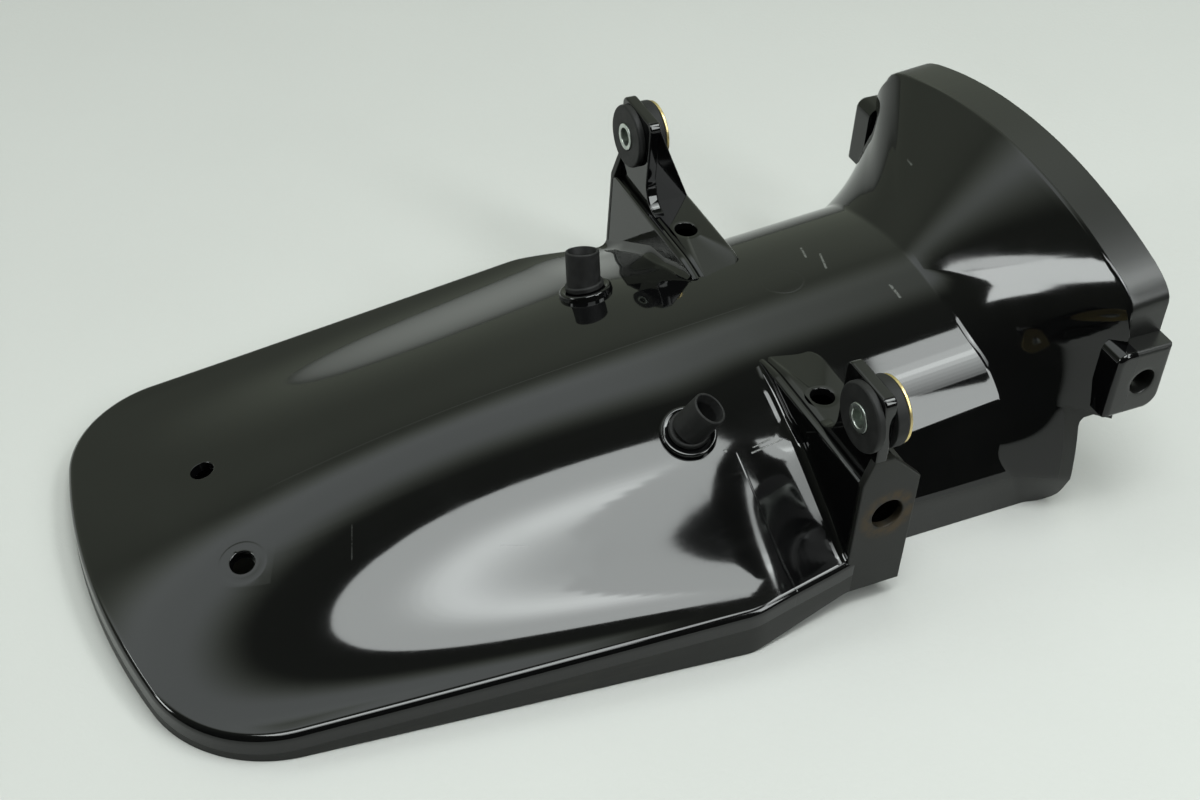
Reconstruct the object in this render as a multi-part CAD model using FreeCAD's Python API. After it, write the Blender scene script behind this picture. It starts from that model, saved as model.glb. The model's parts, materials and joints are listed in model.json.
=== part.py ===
import FreeCAD, Part
import os
from math import sqrt, sin, cos, tan, atan2, acos, radians

Vec = FreeCAD.Vector

# Rear fender of a motorcycle: a tongue, an arch over the wheel and a flared tail.
# X runs along the part as stations from the tip, Y is across, Z is up from the floor.
LENGTH = 346.5
WALL = 2.8
FIT = 0.1

# Tongue seen from above
TIP_RADIUS = 238.0
TIP_HALF = 83.0
TIP_CORNER = 42.0
SHOULDER_HALF = 100.0
SHOULDER_BEFORE_RIB = 35.4
SHOULDER_ROUND = 26.0
SHOULDER_STEP = 7.0
SKIRT_RISE = 6.5
LIP_ROUND = 2.6

# Height of the crown on the centre line: a steep nose line bends into a long back line
NOSE_HEIGHT = 12.55
NOSE_SLOPE = 0.317
BACK_HEIGHT = 37.1
BACK_SLOPE = 0.0858
BEND_SOFTNESS = 6.0

# Height of the lip along the sides, and how the flank hollows and flattens into a brim
LIP_HEIGHT = 9.0
LIP_SLOPE = 0.0525
FLANK_HOLLOW = 1.17
FLANK_EASE = 0.0042
FLANK_BRIM = 0.458

# Arch over the wheel
ARCH_HALF = 73.0
ARCH_ROUND = 48.0

# Flared tail and its rim, placed back from the tail end
FLARE_RUN = 50.0
FLARE_SINK = 0.8
FLARE_INSET = 3.5
FLARE_CORE = 8.0
FLARE_BAND = 13.0
RIM_WIDTH = 15.5
RIM_HALF = 77.3
RIM_TOP = 103.0
RIM_RISE = 1.5
RIM_RADIUS = 204.0
TAIL_RETURN = 24.0
HEEL_ROUND = 6.0

# Side tabs at the tail
TAB_LENGTH = 21.5
TAB_STANDOFF = 8.0
TAB_LOW = 44.5
TAB_TALL = 26.5
TAB_ROUND = 6.0
TAB_HOLE_BACK = 9.4
TAB_HOLE_DROP = 13.3
TAB_HOLE = 9.6
TAB_CLEAR = 2.5

# Bracket on each side: rib, platform, upright ear and outer ear plate
RIB_AT = 224.4
RIB_THICK = 2.8
RIB_TOP = 54.5
RIB_INNER = 28.0
PLATFORM_RUN = 18.8
PLATFORM_INNER = 24.0
PLATFORM_ROUND = 7.0
PAD_HOLE_RUN = 7.3
PAD_HOLE_HALF = 49.9
PAD_HOLE = 8.2
EAR_THICK = 4.4
EAR_ABOVE_EYE = 12.1
EAR_ROUND = 3.0
EAR_FOOT = 9.0
EAR_WEB = 2.2
EYE_INSET = 9.3
EYE_RISE = 21.4
PLATE_THICK = 3.0
PLATE_BEND_RUN = 7.3
PLATE_REAR_DROP = 2.0
PLATE_HOLE_RUN = 8.8
PLATE_HOLE_DROP = 15.4
PLATE_HOLE = 11.3

# Rubber grommets and their steel collars
GROMMET_RADIUS = 11.7
GROMMET_NECK = 7.2
GROMMET_FRONT = 2.6
GROMMET_REAR = 4.4
FLANGE_GAP = 0.4
COLLAR_RADIUS = 5.0
COLLAR_BORE = 6.6
COLLAR_PROUD = 0.4
COLLAR_FLANGE = 11.3
COLLAR_FLANGE_THICK = 1.1

# Raised bosses and the rubber stops that stand in them
BOSS_BEFORE_RIB = 33.7
BOSS_HALF = 40.5
BOSS_RADIUS = 9.4
BOSS_HEIGHT = 2.0
BOSS_BEVEL = 0.8
STEM_RADIUS = 4.2
BULB_RADIUS = 5.8
BULB_LENGTH = 4.0
STOP_RADIUS = 6.1
STOP_FOOT = 7.0
STOP_BORE = 4.4
STOP_HEIGHT = 11.5
STOP_DEPTH = 9.5
STOP_FLOOR = 2.0
STOP_LEAN_RIGHT = 30.0
STOP_LEAN_LEFT = 9.0

# Fixing holes near the tip
TIP_HOLE_AT = 44.5
TIP_HOLE_HALF = 22.8
TIP_HOLE = 8.0

# Rows of the crown surface, and how far it is drawn past the edges before trimming
ROWS_ALONG = 10
ROWS_ACROSS = 13
OVERHANG = 1.12
OVERRUN = 10.0

# Places that follow from the sizes above
REACH = LENGTH / 2
RIB_BACK = RIB_AT + RIB_THICK
TIP_SAG = TIP_RADIUS - sqrt(TIP_RADIUS ** 2 - TIP_HALF ** 2)
SHOULDER_AT = RIB_AT - SHOULDER_BEFORE_RIB
SIDE_TAPER = (SHOULDER_HALF - TIP_HALF) / (SHOULDER_AT - TIP_SAG)
BOSS_AT = RIB_AT - BOSS_BEFORE_RIB
PLATE_HALF = SHOULDER_HALF - SHOULDER_STEP
PLATFORM_END = RIB_BACK + PLATFORM_RUN
EYE_HALF = PLATE_HALF - EYE_INSET
EYE_HEIGHT = RIB_TOP + EYE_RISE
EYE_RADIUS = GROMMET_NECK + FIT
EAR_TOP = EYE_HEIGHT + EAR_ABOVE_EYE
EAR_BACK = RIB_BACK + EAR_THICK
EAR_WEB_OUT = EYE_HALF - GROMMET_RADIUS - FLANGE_GAP
EAR_INNER = EAR_WEB_OUT - EAR_WEB
PAD_HOLE_AT = RIB_BACK + PAD_HOLE_RUN
PLATE_TOP = EYE_HEIGHT - GROMMET_RADIUS - FLANGE_GAP
PLATE_HOLE_AT = RIB_BACK + PLATE_HOLE_RUN
PLATE_HOLE_HEIGHT = RIB_TOP - PLATE_HOLE_DROP
FLARE_FROM = LENGTH - FLARE_RUN
RIM_FROM = LENGTH - RIM_WIDTH
ARCH_END = LENGTH - TAIL_RETURN
TAB_FROM = LENGTH - TAB_LENGTH
TAB_HALF = RIM_HALF + TAB_STANDOFF
TAB_HIGH = TAB_LOW + TAB_TALL
TAB_HOLE_AT = LENGTH - TAB_HOLE_BACK
TAB_HOLE_HEIGHT = TAB_HIGH - TAB_HOLE_DROP
RIM_SKIRT = TAB_HIGH - WALL / 2
TAIL_NOTCH = TAB_LOW - TAB_CLEAR


def crown_height(station):
    """Height of the outer surface on the centre line."""
    nose = NOSE_HEIGHT + NOSE_SLOPE * station
    back = BACK_HEIGHT + BACK_SLOPE * station
    return (nose + back) / 2 - sqrt(((nose - back) / 2) ** 2 + BEND_SOFTNESS ** 2)


def lip_half(station):
    """Half width of the lip: a straight taper, then an easy step in to the ear plates."""
    side = TIP_HALF + SIDE_TAPER * (station - TIP_SAG)
    share = min(max((station - SHOULDER_AT) / (RIB_AT - SHOULDER_AT), 0.0), 1.0)
    step = share * share * (3 - 2 * share)
    return side + (PLATE_HALF - side) * step


def surface_height(station, across):
    """Height of the outer surface at one point seen from above."""
    lip = LIP_HEIGHT + LIP_SLOPE * station
    spread = (across / lip_half(station)) ** 2
    hollow = FLANK_HOLLOW - FLANK_EASE * station
    fall = (1 - spread) * (1 - hollow * spread - FLANK_BRIM * spread ** 2)
    return lip + (crown_height(station) - lip) * fall


def surface_normal(station, across):
    """Unit normal of the outer surface, pointing up."""
    step = 0.5
    along = surface_height(station + step, across) - surface_height(station - step, across)
    side = surface_height(station, across + step) - surface_height(station, across - step)
    return Vec(-along, -side, 2 * step).normalize()


def surface_point(station, across, lift=0.0):
    """Point on the outer surface, lifted along its normal."""
    foot = Vec(station, across, surface_height(station, across))
    return foot + surface_normal(station, across) * lift


def below_surface(drop):
    """Solid that hangs below the crown surface, lowered by the drop."""
    first = -OVERRUN
    pitch = (RIB_BACK + OVERRUN - first) / (ROWS_ALONG - 1)
    rows = []
    for i in range(ROWS_ALONG):
        station = first + i * pitch
        row = []
        for j in range(ROWS_ACROSS):
            across = lip_half(station) * OVERHANG * (2 * j / (ROWS_ACROSS - 1) - 1)
            row.append(Vec(station, across, surface_height(station, across) - drop))
        rows.append(row)
    sheet = Part.BSplineSurface()
    sheet.interpolate(rows)
    return sheet.toShape().extrude(Vec(0, 0, -REACH))


def box(x0, x1, y0, y1, z0, z1):
    """Box between two opposite corners."""
    return Part.makeBox(x1 - x0, y1 - y0, z1 - z0, Vec(x0, y0, z0))


def polygon_face(points):
    """Flat face inside a closed run of points."""
    return Part.Face(Part.makePolygon(points + [points[0]]))


def upright_edges(shape, test):
    """Upright edges whose foot passes the test."""
    found = []
    for edge in shape.Edges:
        ends = [v.Point for v in edge.Vertexes]
        if len(ends) == 2 and abs(ends[0].x - ends[1].x) + abs(ends[0].y - ends[1].y) < 1e-6:
            if test(ends[0]):
                found.append(edge)
    return found


def mirrored(shape):
    """Copy of a shape on the other side of the centre plane."""
    return shape.mirror(Vec(0, 0, 0), Vec(0, 1, 0))


def tongue_prism(inset, rear):
    """Upright prism over the outline of the tongue, drawn in by the inset."""
    half = TIP_HALF - inset
    front = TIP_SAG + inset * 0.5
    nose = Part.Arc(Vec(front, -half, 0), Vec(inset, 0, 0), Vec(front, half, 0)).toShape()
    left = [Vec(front, half, 0), Vec(SHOULDER_AT, SHOULDER_HALF - inset, 0), Vec(rear, PLATE_HALF - inset, 0)]
    right = [Vec(p.x, -p.y, 0) for p in reversed(left)]
    sides = Part.makePolygon(left + right)
    prism = Part.Face(Part.Wire([nose] + sides.Edges)).extrude(Vec(0, 0, REACH))
    corners = upright_edges(prism, lambda p: abs(p.x - front) < 1)
    prism = prism.makeFillet(TIP_CORNER - inset, corners)
    shoulders = upright_edges(prism, lambda p: abs(p.x - SHOULDER_AT) < 1)
    return prism.makeFillet(SHOULDER_ROUND, shoulders)


def lip_edges(shape):
    """Upper edges of the tongue where the flank turns into the skirt."""
    found = []
    for edge in shape.Edges:
        ends = [v.Point for v in edge.Vertexes]
        low = min(p.z for p in ends)
        flat = max(p.z for p in ends) - low
        behind = min(p.x for p in ends) > RIB_AT
        if low > LIP_HEIGHT * 0.5 and flat < REACH / 8 and not behind:
            found.append(edge)
    return found


def curve_through(points):
    """Smooth edge through a run of points."""
    curve = Part.BSplineCurve()
    curve.interpolate(points)
    return curve.toShape()


def shoulder_start(station, half, turn):
    """Distance across at which the rounded shoulder of the arch leaves the crown."""
    low = 0.0
    high = half
    for _ in range(40):
        middle = (low + high) / 2
        if middle - turn * surface_normal(station, middle).y < half - turn:
            low = middle
        else:
            high = middle
    return low


def arch_section(station, half, drop, turn):
    """Flat cross-section of the arch: crown, rounded shoulders and upright sides."""
    reach = shoulder_start(station, half, turn)
    normal = surface_normal(station, reach)
    normal = Vec(0, normal.y, normal.z).normalize()
    top = Vec(station, reach, surface_height(station, reach) - drop)
    centre = top - normal * turn
    middle = centre + (normal + Vec(0, 1, 0)).normalize() * turn
    side = centre + Vec(0, turn, 0)
    crown = []
    for k in range(7):
        across = reach * (1 - k / 3)
        crown.append(Vec(station, across, surface_height(station, across) - drop))
    floor = [Vec(station, -half, -RIB_TOP), Vec(station, half, -RIB_TOP)]
    flip = [Vec(p.x, -p.y, p.z) for p in (top, middle, side)]
    outline = Part.Wire([
        Part.LineSegment(floor[0], floor[1]).toShape(),
        Part.LineSegment(floor[1], side).toShape(),
        Part.Arc(side, middle, top).toShape(),
        curve_through(crown),
        Part.Arc(flip[0], flip[1], flip[2]).toShape(),
        Part.LineSegment(flip[2], floor[0]).toShape(),
    ])
    return Part.Face(outline)


def arch(inset, front, rear):
    """Arch over the wheel: one section drawn along the rising back line."""
    section = arch_section(front, ARCH_HALF - inset, inset, ARCH_ROUND - inset)
    rise = crown_height(rear) - crown_height(front)
    return section.extrude(Vec(rear - front, 0, rise)).common(box(front, rear, -REACH, REACH, 0, REACH))


def flare_start(station, inset):
    """Cross-section of the flare where it leaves the arch."""
    half = ARCH_HALF - FLARE_INSET - inset
    top = crown_height(FLARE_FROM) - FLARE_SINK - inset
    last = acos(FLARE_CORE / half)
    flank = [Vec(station, half, 0), Vec(station, half, FLARE_BAND / 2)]
    for k in range(5):
        turn = last * k / 4
        rise = sin(turn) / sin(last)
        flank.append(Vec(station, half * cos(turn), FLARE_BAND + (top - FLARE_BAND) * rise))
    right = [Vec(p.x, -p.y, p.z) for p in reversed(flank)]
    crest = Part.LineSegment(flank[-1], right[0]).toShape()
    floor = Part.LineSegment(right[-1], flank[0]).toShape()
    return Part.Wire([floor, curve_through(flank), crest, curve_through(right)])


def rim_section(station, top, inset):
    """Box-like cross-section under the rim with a shallow arc on top."""
    half = RIM_HALF - inset
    radius = RIM_RADIUS - inset
    crest = top - inset
    arc = []
    for k in range(5):
        across = half * (1 - k / 2)
        arc.append(Vec(station, across, crest - radius + sqrt(radius ** 2 - across ** 2)))
    floor = Part.LineSegment(Vec(station, -half, 0), Vec(station, half, 0)).toShape()
    left = Part.LineSegment(Vec(station, half, 0), arc[0]).toShape()
    right = Part.LineSegment(arc[-1], Vec(station, -half, 0)).toShape()
    return Part.Wire([floor, left, curve_through(arc), right])


def tail(inset, shift, end):
    """Flare and rim as one body."""
    start = flare_start(FLARE_FROM + shift, inset)
    middle = rim_section(RIM_FROM + shift, RIM_TOP - RIM_RISE, inset)
    close = rim_section(end, RIM_TOP, inset)
    flare = Part.makeLoft([start, middle], True, True)
    rim = Part.makeLoft([middle, close], True, True)
    return flare.fuse(rim)


def tail_cutter():
    """Cutter behind the arch: a notch with a rounded corner, and the rounded heel below it."""
    notch = box(ARCH_END, LENGTH + 1, -REACH, REACH, -1, TAIL_NOTCH)
    corner = [e for e in notch.Edges if max(v.Point.x for v in e.Vertexes) < ARCH_END + 0.01
              and min(v.Point.z for v in e.Vertexes) > TAIL_NOTCH - 0.01]
    notch = notch.makeFillet(HEEL_ROUND, corner)
    heel = box(ARCH_END - HEEL_ROUND, ARCH_END + 1, -REACH, REACH, -1, HEEL_ROUND)
    hub = Vec(ARCH_END - HEEL_ROUND, -2 * REACH, HEEL_ROUND)
    heel = heel.cut(Part.makeCylinder(HEEL_ROUND, 4 * REACH, hub, Vec(0, 1, 0)))
    return notch.fuse(heel)


def platform(inset):
    """Raised platform of the bracket beside the arch."""
    end = PLATFORM_END - inset
    outer = EAR_WEB_OUT - inset
    block = box(RIB_BACK, end, PLATFORM_INNER + inset, outer, RIB_TOP / 3, RIB_TOP - inset)
    corner = upright_edges(block, lambda p: p.x > end - 1 and p.y < PLATFORM_INNER + inset + 1)
    return block.makeFillet(PLATFORM_ROUND - inset / 2, corner)


def rib():
    """Transverse wall that closes the tongue and stands above its flank."""
    return box(RIB_AT, RIB_BACK, RIB_INNER, PLATE_HALF, RIB_TOP / 3, RIB_TOP)


def ear():
    """Upright ear with a flared foot and the web behind its inner edge."""
    low = RIB_TOP - WALL
    foot = Part.Arc(Vec(RIB_BACK, EAR_INNER - EAR_FOOT, RIB_TOP),
                    Vec(RIB_BACK, EAR_INNER - EAR_FOOT * 0.28, RIB_TOP + EAR_FOOT * 0.3),
                    Vec(RIB_BACK, EAR_INNER, RIB_TOP + EAR_FOOT * 1.1)).toShape()
    rest = Part.makePolygon([foot.Vertexes[-1].Point, Vec(RIB_BACK, EAR_INNER, EAR_TOP),
                             Vec(RIB_BACK, PLATE_HALF, EAR_TOP), Vec(RIB_BACK, PLATE_HALF, low),
                             Vec(RIB_BACK, EAR_INNER - EAR_FOOT, low), foot.Vertexes[0].Point])
    leaf = Part.Face(Part.Wire([foot] + rest.Edges)).extrude(Vec(EAR_THICK, 0, 0))
    crown = [e for e in leaf.Edges if min(v.Point.z for v in e.Vertexes) > EAR_TOP - 0.01
             and max(v.Point.y for v in e.Vertexes) - min(v.Point.y for v in e.Vertexes) < 0.01]
    leaf = leaf.makeFillet(EAR_ROUND, crown)
    web = polygon_face([Vec(EAR_BACK - 1, EAR_INNER, low), Vec(PLATFORM_END - 1, EAR_INNER, low),
                        Vec(PLATFORM_END - 1, EAR_INNER, RIB_TOP),
                        Vec(EAR_BACK, EAR_INNER, EAR_TOP - EAR_ROUND),
                        Vec(EAR_BACK - 1, EAR_INNER, EAR_TOP - EAR_ROUND)])
    return leaf.fuse(web.extrude(Vec(0, EAR_WEB, 0)))


def ear_plate():
    """Outer plate that carries the large side hole."""
    rear_top = RIB_TOP - PLATE_REAR_DROP
    bend = RIB_BACK + PLATE_BEND_RUN
    side = polygon_face([Vec(RIB_AT, PLATE_HALF, SKIRT_RISE), Vec(PLATFORM_END, PLATE_HALF, SKIRT_RISE),
                         Vec(PLATFORM_END, PLATE_HALF, rear_top), Vec(bend, PLATE_HALF, PLATE_TOP),
                         Vec(RIB_BACK, PLATE_HALF, PLATE_TOP), Vec(RIB_AT, PLATE_HALF, RIB_TOP)])
    return side.extrude(Vec(0, -PLATE_THICK, 0))


def tab():
    """Side tab at the tail: a plate held off the wall by a ledge and a front wall."""
    inside = RIM_HALF - WALL
    block = box(TAB_FROM, LENGTH, inside, TAB_HALF, TAB_LOW, TAB_HIGH)
    corner = [e for e in block.Edges if max(v.Point.z for v in e.Vertexes) < TAB_LOW + 0.01
              and min(v.Point.x for v in e.Vertexes) > LENGTH - 0.01]
    block = block.makeFillet(TAB_ROUND, corner)
    hollow = box(TAB_FROM + WALL, LENGTH + 1, inside - 1, TAB_HALF - WALL, TAB_LOW - 1, TAB_HIGH - WALL)
    return block.cut(hollow)


def boss():
    """Raised round boss on the flank."""
    axis = surface_normal(BOSS_AT, BOSS_HALF)
    post = Part.makeCylinder(BOSS_RADIUS, BOSS_HEIGHT + WALL, surface_point(BOSS_AT, BOSS_HALF, -WALL), axis)
    top = max(post.Edges, key=lambda e: e.BoundBox.ZMax)
    return post.makeChamfer(BOSS_BEVEL, [top])


def drill(point, axis, diameter, depth):
    """Round cutter centred on a point."""
    return Part.makeCylinder(diameter / 2, 2 * depth, point - axis * depth, axis)


def side_holes():
    """Cutters for every hole on the left side."""
    across = Vec(0, 1, 0)
    along = Vec(1, 0, 0)
    up = Vec(0, 0, 1)
    tip = surface_point(TIP_HOLE_AT, TIP_HOLE_HALF)
    tip_axis = surface_normal(TIP_HOLE_AT, TIP_HOLE_HALF)
    seat = surface_point(BOSS_AT, BOSS_HALF)
    seat_axis = surface_normal(BOSS_AT, BOSS_HALF)
    return [
        drill(tip, tip_axis, TIP_HOLE, 3 * WALL),
        drill(seat, seat_axis, 2 * (STEM_RADIUS + FIT), 4 * WALL),
        drill(Vec(PAD_HOLE_AT, PAD_HOLE_HALF, RIB_TOP), up, PAD_HOLE, 2 * WALL),
        drill(Vec(PLATE_HOLE_AT, PLATE_HALF, PLATE_HOLE_HEIGHT), across, PLATE_HOLE, 2 * PLATE_THICK),
        drill(Vec(RIB_BACK, EYE_HALF, EYE_HEIGHT), along, 2 * EYE_RADIUS, 2 * EAR_THICK),
        drill(Vec(TAB_HOLE_AT, TAB_HALF, TAB_HOLE_HEIGHT), across, TAB_HOLE, 2 * WALL),
    ]


def fender_shell():
    """Whole moulding: outer body less inner body, then the brackets, tabs and holes."""
    outer_sheet = below_surface(0.0)
    inner_sheet = below_surface(WALL)
    prism = tongue_prism(0.0, RIB_BACK).common(box(-1, RIB_BACK, -REACH, REACH, 0, REACH))
    tongue = outer_sheet.common(prism)
    tongue = tongue.makeFillet(LIP_ROUND, lip_edges(tongue))
    hollow_prism = tongue_prism(WALL, RIB_BACK).common(box(-1, RIB_AT, -REACH, REACH, -1, REACH))
    tongue_hollow = inner_sheet.common(hollow_prism)
    lift = polygon_face([Vec(SHOULDER_AT, -REACH, -1), Vec(SHOULDER_AT, -REACH, 0),
                         Vec(RIB_AT, -REACH, SKIRT_RISE), Vec(RIB_BACK + 1, -REACH, SKIRT_RISE),
                         Vec(RIB_BACK + 1, -REACH, -1)])
    tongue = tongue.cut(lift.extrude(Vec(0, 2 * REACH, 0)))

    body = arch(0.0, RIB_BACK, ARCH_END)
    body_hollow = arch(WALL, RIB_AT, ARCH_END + OVERRUN)
    slope = atan2(RIM_TOP - RIM_RISE - crown_height(FLARE_FROM), RIM_FROM - FLARE_FROM)
    tail_body = tail(0.0, 0.0, LENGTH)
    tail_hollow = tail(WALL, WALL * tan(slope / 2), LENGTH + 5)

    outer = tongue.multiFuse([body, tail_body])
    hollow = tongue_hollow.multiFuse([body_hollow, tail_hollow])
    for make in (rib, boss):
        piece = make()
        outer = outer.multiFuse([piece, mirrored(piece)])
    stand = platform(0.0)
    stand_hollow = platform(WALL)
    outer = outer.multiFuse([stand, mirrored(stand)])
    hollow = hollow.multiFuse([stand_hollow, mirrored(stand_hollow)])
    shell = outer.cut(hollow)
    shell = shell.cut(tail_cutter())
    shell = shell.cut(box(RIM_FROM, LENGTH + 1, -REACH, REACH, -1, RIM_SKIRT))
    extras = []
    for make in (ear, ear_plate, tab):
        piece = make()
        extras += [piece, mirrored(piece)]
    shell = shell.multiFuse(extras)
    cutters = side_holes()
    shell = shell.cut(Part.makeCompound(cutters + [mirrored(c) for c in cutters]))
    return shell.removeSplitter()


def turned(profile, centre, axis):
    """Full turn of a closed profile given as radius and height pairs."""
    face = polygon_face([Vec(r, 0, h) for r, h in profile])
    solid = face.revolve(Vec(0, 0, 0), Vec(0, 0, 1), 360)
    solid.Placement = FreeCAD.Placement(centre, FreeCAD.Rotation(Vec(0, 0, 1), axis))
    return solid


def grommet():
    """Grooved rubber grommet in the eye of the ear."""
    front = -GROMMET_FRONT
    back = EAR_THICK + GROMMET_REAR
    bore = COLLAR_RADIUS + FIT
    wide = GROMMET_RADIUS
    profile = [(bore, front), (wide, front), (wide, 0), (GROMMET_NECK, 0),
               (GROMMET_NECK, EAR_THICK), (wide, EAR_THICK), (wide, back), (bore, back)]
    return turned(profile, Vec(RIB_BACK, EYE_HALF, EYE_HEIGHT), Vec(1, 0, 0))


def collar():
    """Flanged steel collar through the grommet, with its flange behind."""
    front = -GROMMET_FRONT - COLLAR_PROUD
    seat = EAR_THICK + GROMMET_REAR
    back = seat + COLLAR_FLANGE_THICK
    hole = COLLAR_BORE / 2
    profile = [(hole, front), (COLLAR_RADIUS, front), (COLLAR_RADIUS, seat), (COLLAR_FLANGE, seat),
               (COLLAR_FLANGE, back), (hole, back)]
    return turned(profile, Vec(RIB_BACK, EYE_HALF, EYE_HEIGHT), Vec(1, 0, 0))


def stop(lean):
    """Hollow rubber stop: a leaning cup on a stem that snaps through the boss."""
    normal = surface_normal(BOSS_AT, BOSS_HALF)
    seat = surface_point(BOSS_AT, BOSS_HALF, BOSS_HEIGHT)
    under = -BOSS_HEIGHT - WALL - FIT
    stem = turned([(0, STOP_FLOOR), (STOP_FOOT, STOP_FLOOR), (STOP_FOOT, 0), (STEM_RADIUS, 0),
                   (STEM_RADIUS, under), (BULB_RADIUS, under), (STEM_RADIUS, under - BULB_LENGTH),
                   (0, under - BULB_LENGTH)], seat, normal)
    back = (Vec(1, 0, 0) - normal * normal.x).normalize()
    axis = normal * cos(radians(lean)) + back * sin(radians(lean))
    foot = seat + normal * STOP_FLOOR - axis * STOP_FLOOR
    cup = Part.makeCylinder(STOP_RADIUS, STOP_HEIGHT + STOP_FLOOR, foot, axis)
    above = Part.makeCylinder(4 * STOP_RADIUS, 4 * STOP_HEIGHT, seat, normal)
    bottom = foot + axis * (STOP_HEIGHT + STOP_FLOOR - STOP_DEPTH)
    hollow = Part.makeCylinder(STOP_BORE, STOP_DEPTH + 1, bottom, axis)
    return stem.fuse(cup.common(above)).cut(hollow).removeSplitter()


def save(name, shape):
    """Centre the part over the origin and write one piece."""
    piece = shape.copy()
    piece.translate(Vec(-LENGTH / 2, 0, 0))
    piece.exportStep("parts/" + name + ".step")


def main():
    os.makedirs("parts", exist_ok=True)
    save("fender_shell", fender_shell())
    save("grommet_left", grommet())
    save("grommet_right", mirrored(grommet()))
    save("collar_left", collar())
    save("collar_right", mirrored(collar()))
    save("stop_left", stop(STOP_LEAN_LEFT))
    save("stop_right", mirrored(stop(STOP_LEAN_RIGHT)))


main()
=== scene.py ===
"""Rear fender of a motorcycle: gloss black moulding with rubber grommets, steel collars and rubber stops."""
import json
import logging
import math
from dataclasses import dataclass, field
from enum import IntEnum
from typing import Any, ClassVar, Optional, Sequence, Union

import bpy
import numpy as np
from mathutils import Matrix, Vector

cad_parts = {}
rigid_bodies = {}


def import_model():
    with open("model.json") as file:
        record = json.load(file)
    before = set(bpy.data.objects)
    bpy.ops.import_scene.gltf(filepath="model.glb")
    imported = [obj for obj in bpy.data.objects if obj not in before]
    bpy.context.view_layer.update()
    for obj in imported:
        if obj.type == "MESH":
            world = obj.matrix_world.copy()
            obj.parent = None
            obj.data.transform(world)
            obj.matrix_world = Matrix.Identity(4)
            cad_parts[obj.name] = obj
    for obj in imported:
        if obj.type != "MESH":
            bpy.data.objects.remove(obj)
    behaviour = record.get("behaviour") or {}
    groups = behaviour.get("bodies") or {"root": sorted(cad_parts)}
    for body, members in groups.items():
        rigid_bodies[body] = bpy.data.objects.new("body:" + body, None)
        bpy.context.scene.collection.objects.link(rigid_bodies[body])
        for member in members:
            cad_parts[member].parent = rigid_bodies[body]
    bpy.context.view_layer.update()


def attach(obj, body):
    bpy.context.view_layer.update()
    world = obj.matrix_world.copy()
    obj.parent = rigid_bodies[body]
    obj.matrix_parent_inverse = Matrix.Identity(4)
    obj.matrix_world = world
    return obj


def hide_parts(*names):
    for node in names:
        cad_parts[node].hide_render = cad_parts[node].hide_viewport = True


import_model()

log = logging.getLogger("fender")

# Metres in a millimetre.
MM = 0.001
# Sizes that several pieces share, in millimetres. Stations run from the tip of the tongue to the tail.
LENGTH = 346.5
WALL = 2.8
TIP_RADIUS = 238.0
TIP_HALF = 83.0
SKIRT_RISE = 6.5
RIB_AT = 224.4
RIB_BACK = 227.2
RIB_TOP = 54.5
PLATE_HALF = 93.0
EAR_THICK = 4.4
EYE_HALF = 83.7
EYE_HEIGHT = 75.9

Number = Union[int, float]
Colour = tuple[float, float, float]
Spot = tuple[float, float, float]
Mark = tuple[Spot, Spot, float]
Faces = list[tuple[int, ...]]


class Side(IntEnum):
    """The two sides of the centre plane."""

    LEFT = 1
    RIGHT = -1


class Face(IntEnum):
    """Finish of a face of the moulding, as a material slot number."""

    GLOSS = 0
    SATIN = 1


def to_row(points: np.ndarray) -> np.ndarray:
    """Move points from stations in millimetres to the part's frame in metres.

    Args:
        points: Array whose last axis is station, across and height.

    Returns:
        Points of the same shape in metres.
    """
    out = np.asarray(points, float).copy()
    out[..., 0] -= LENGTH / 2
    return out * MM


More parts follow.
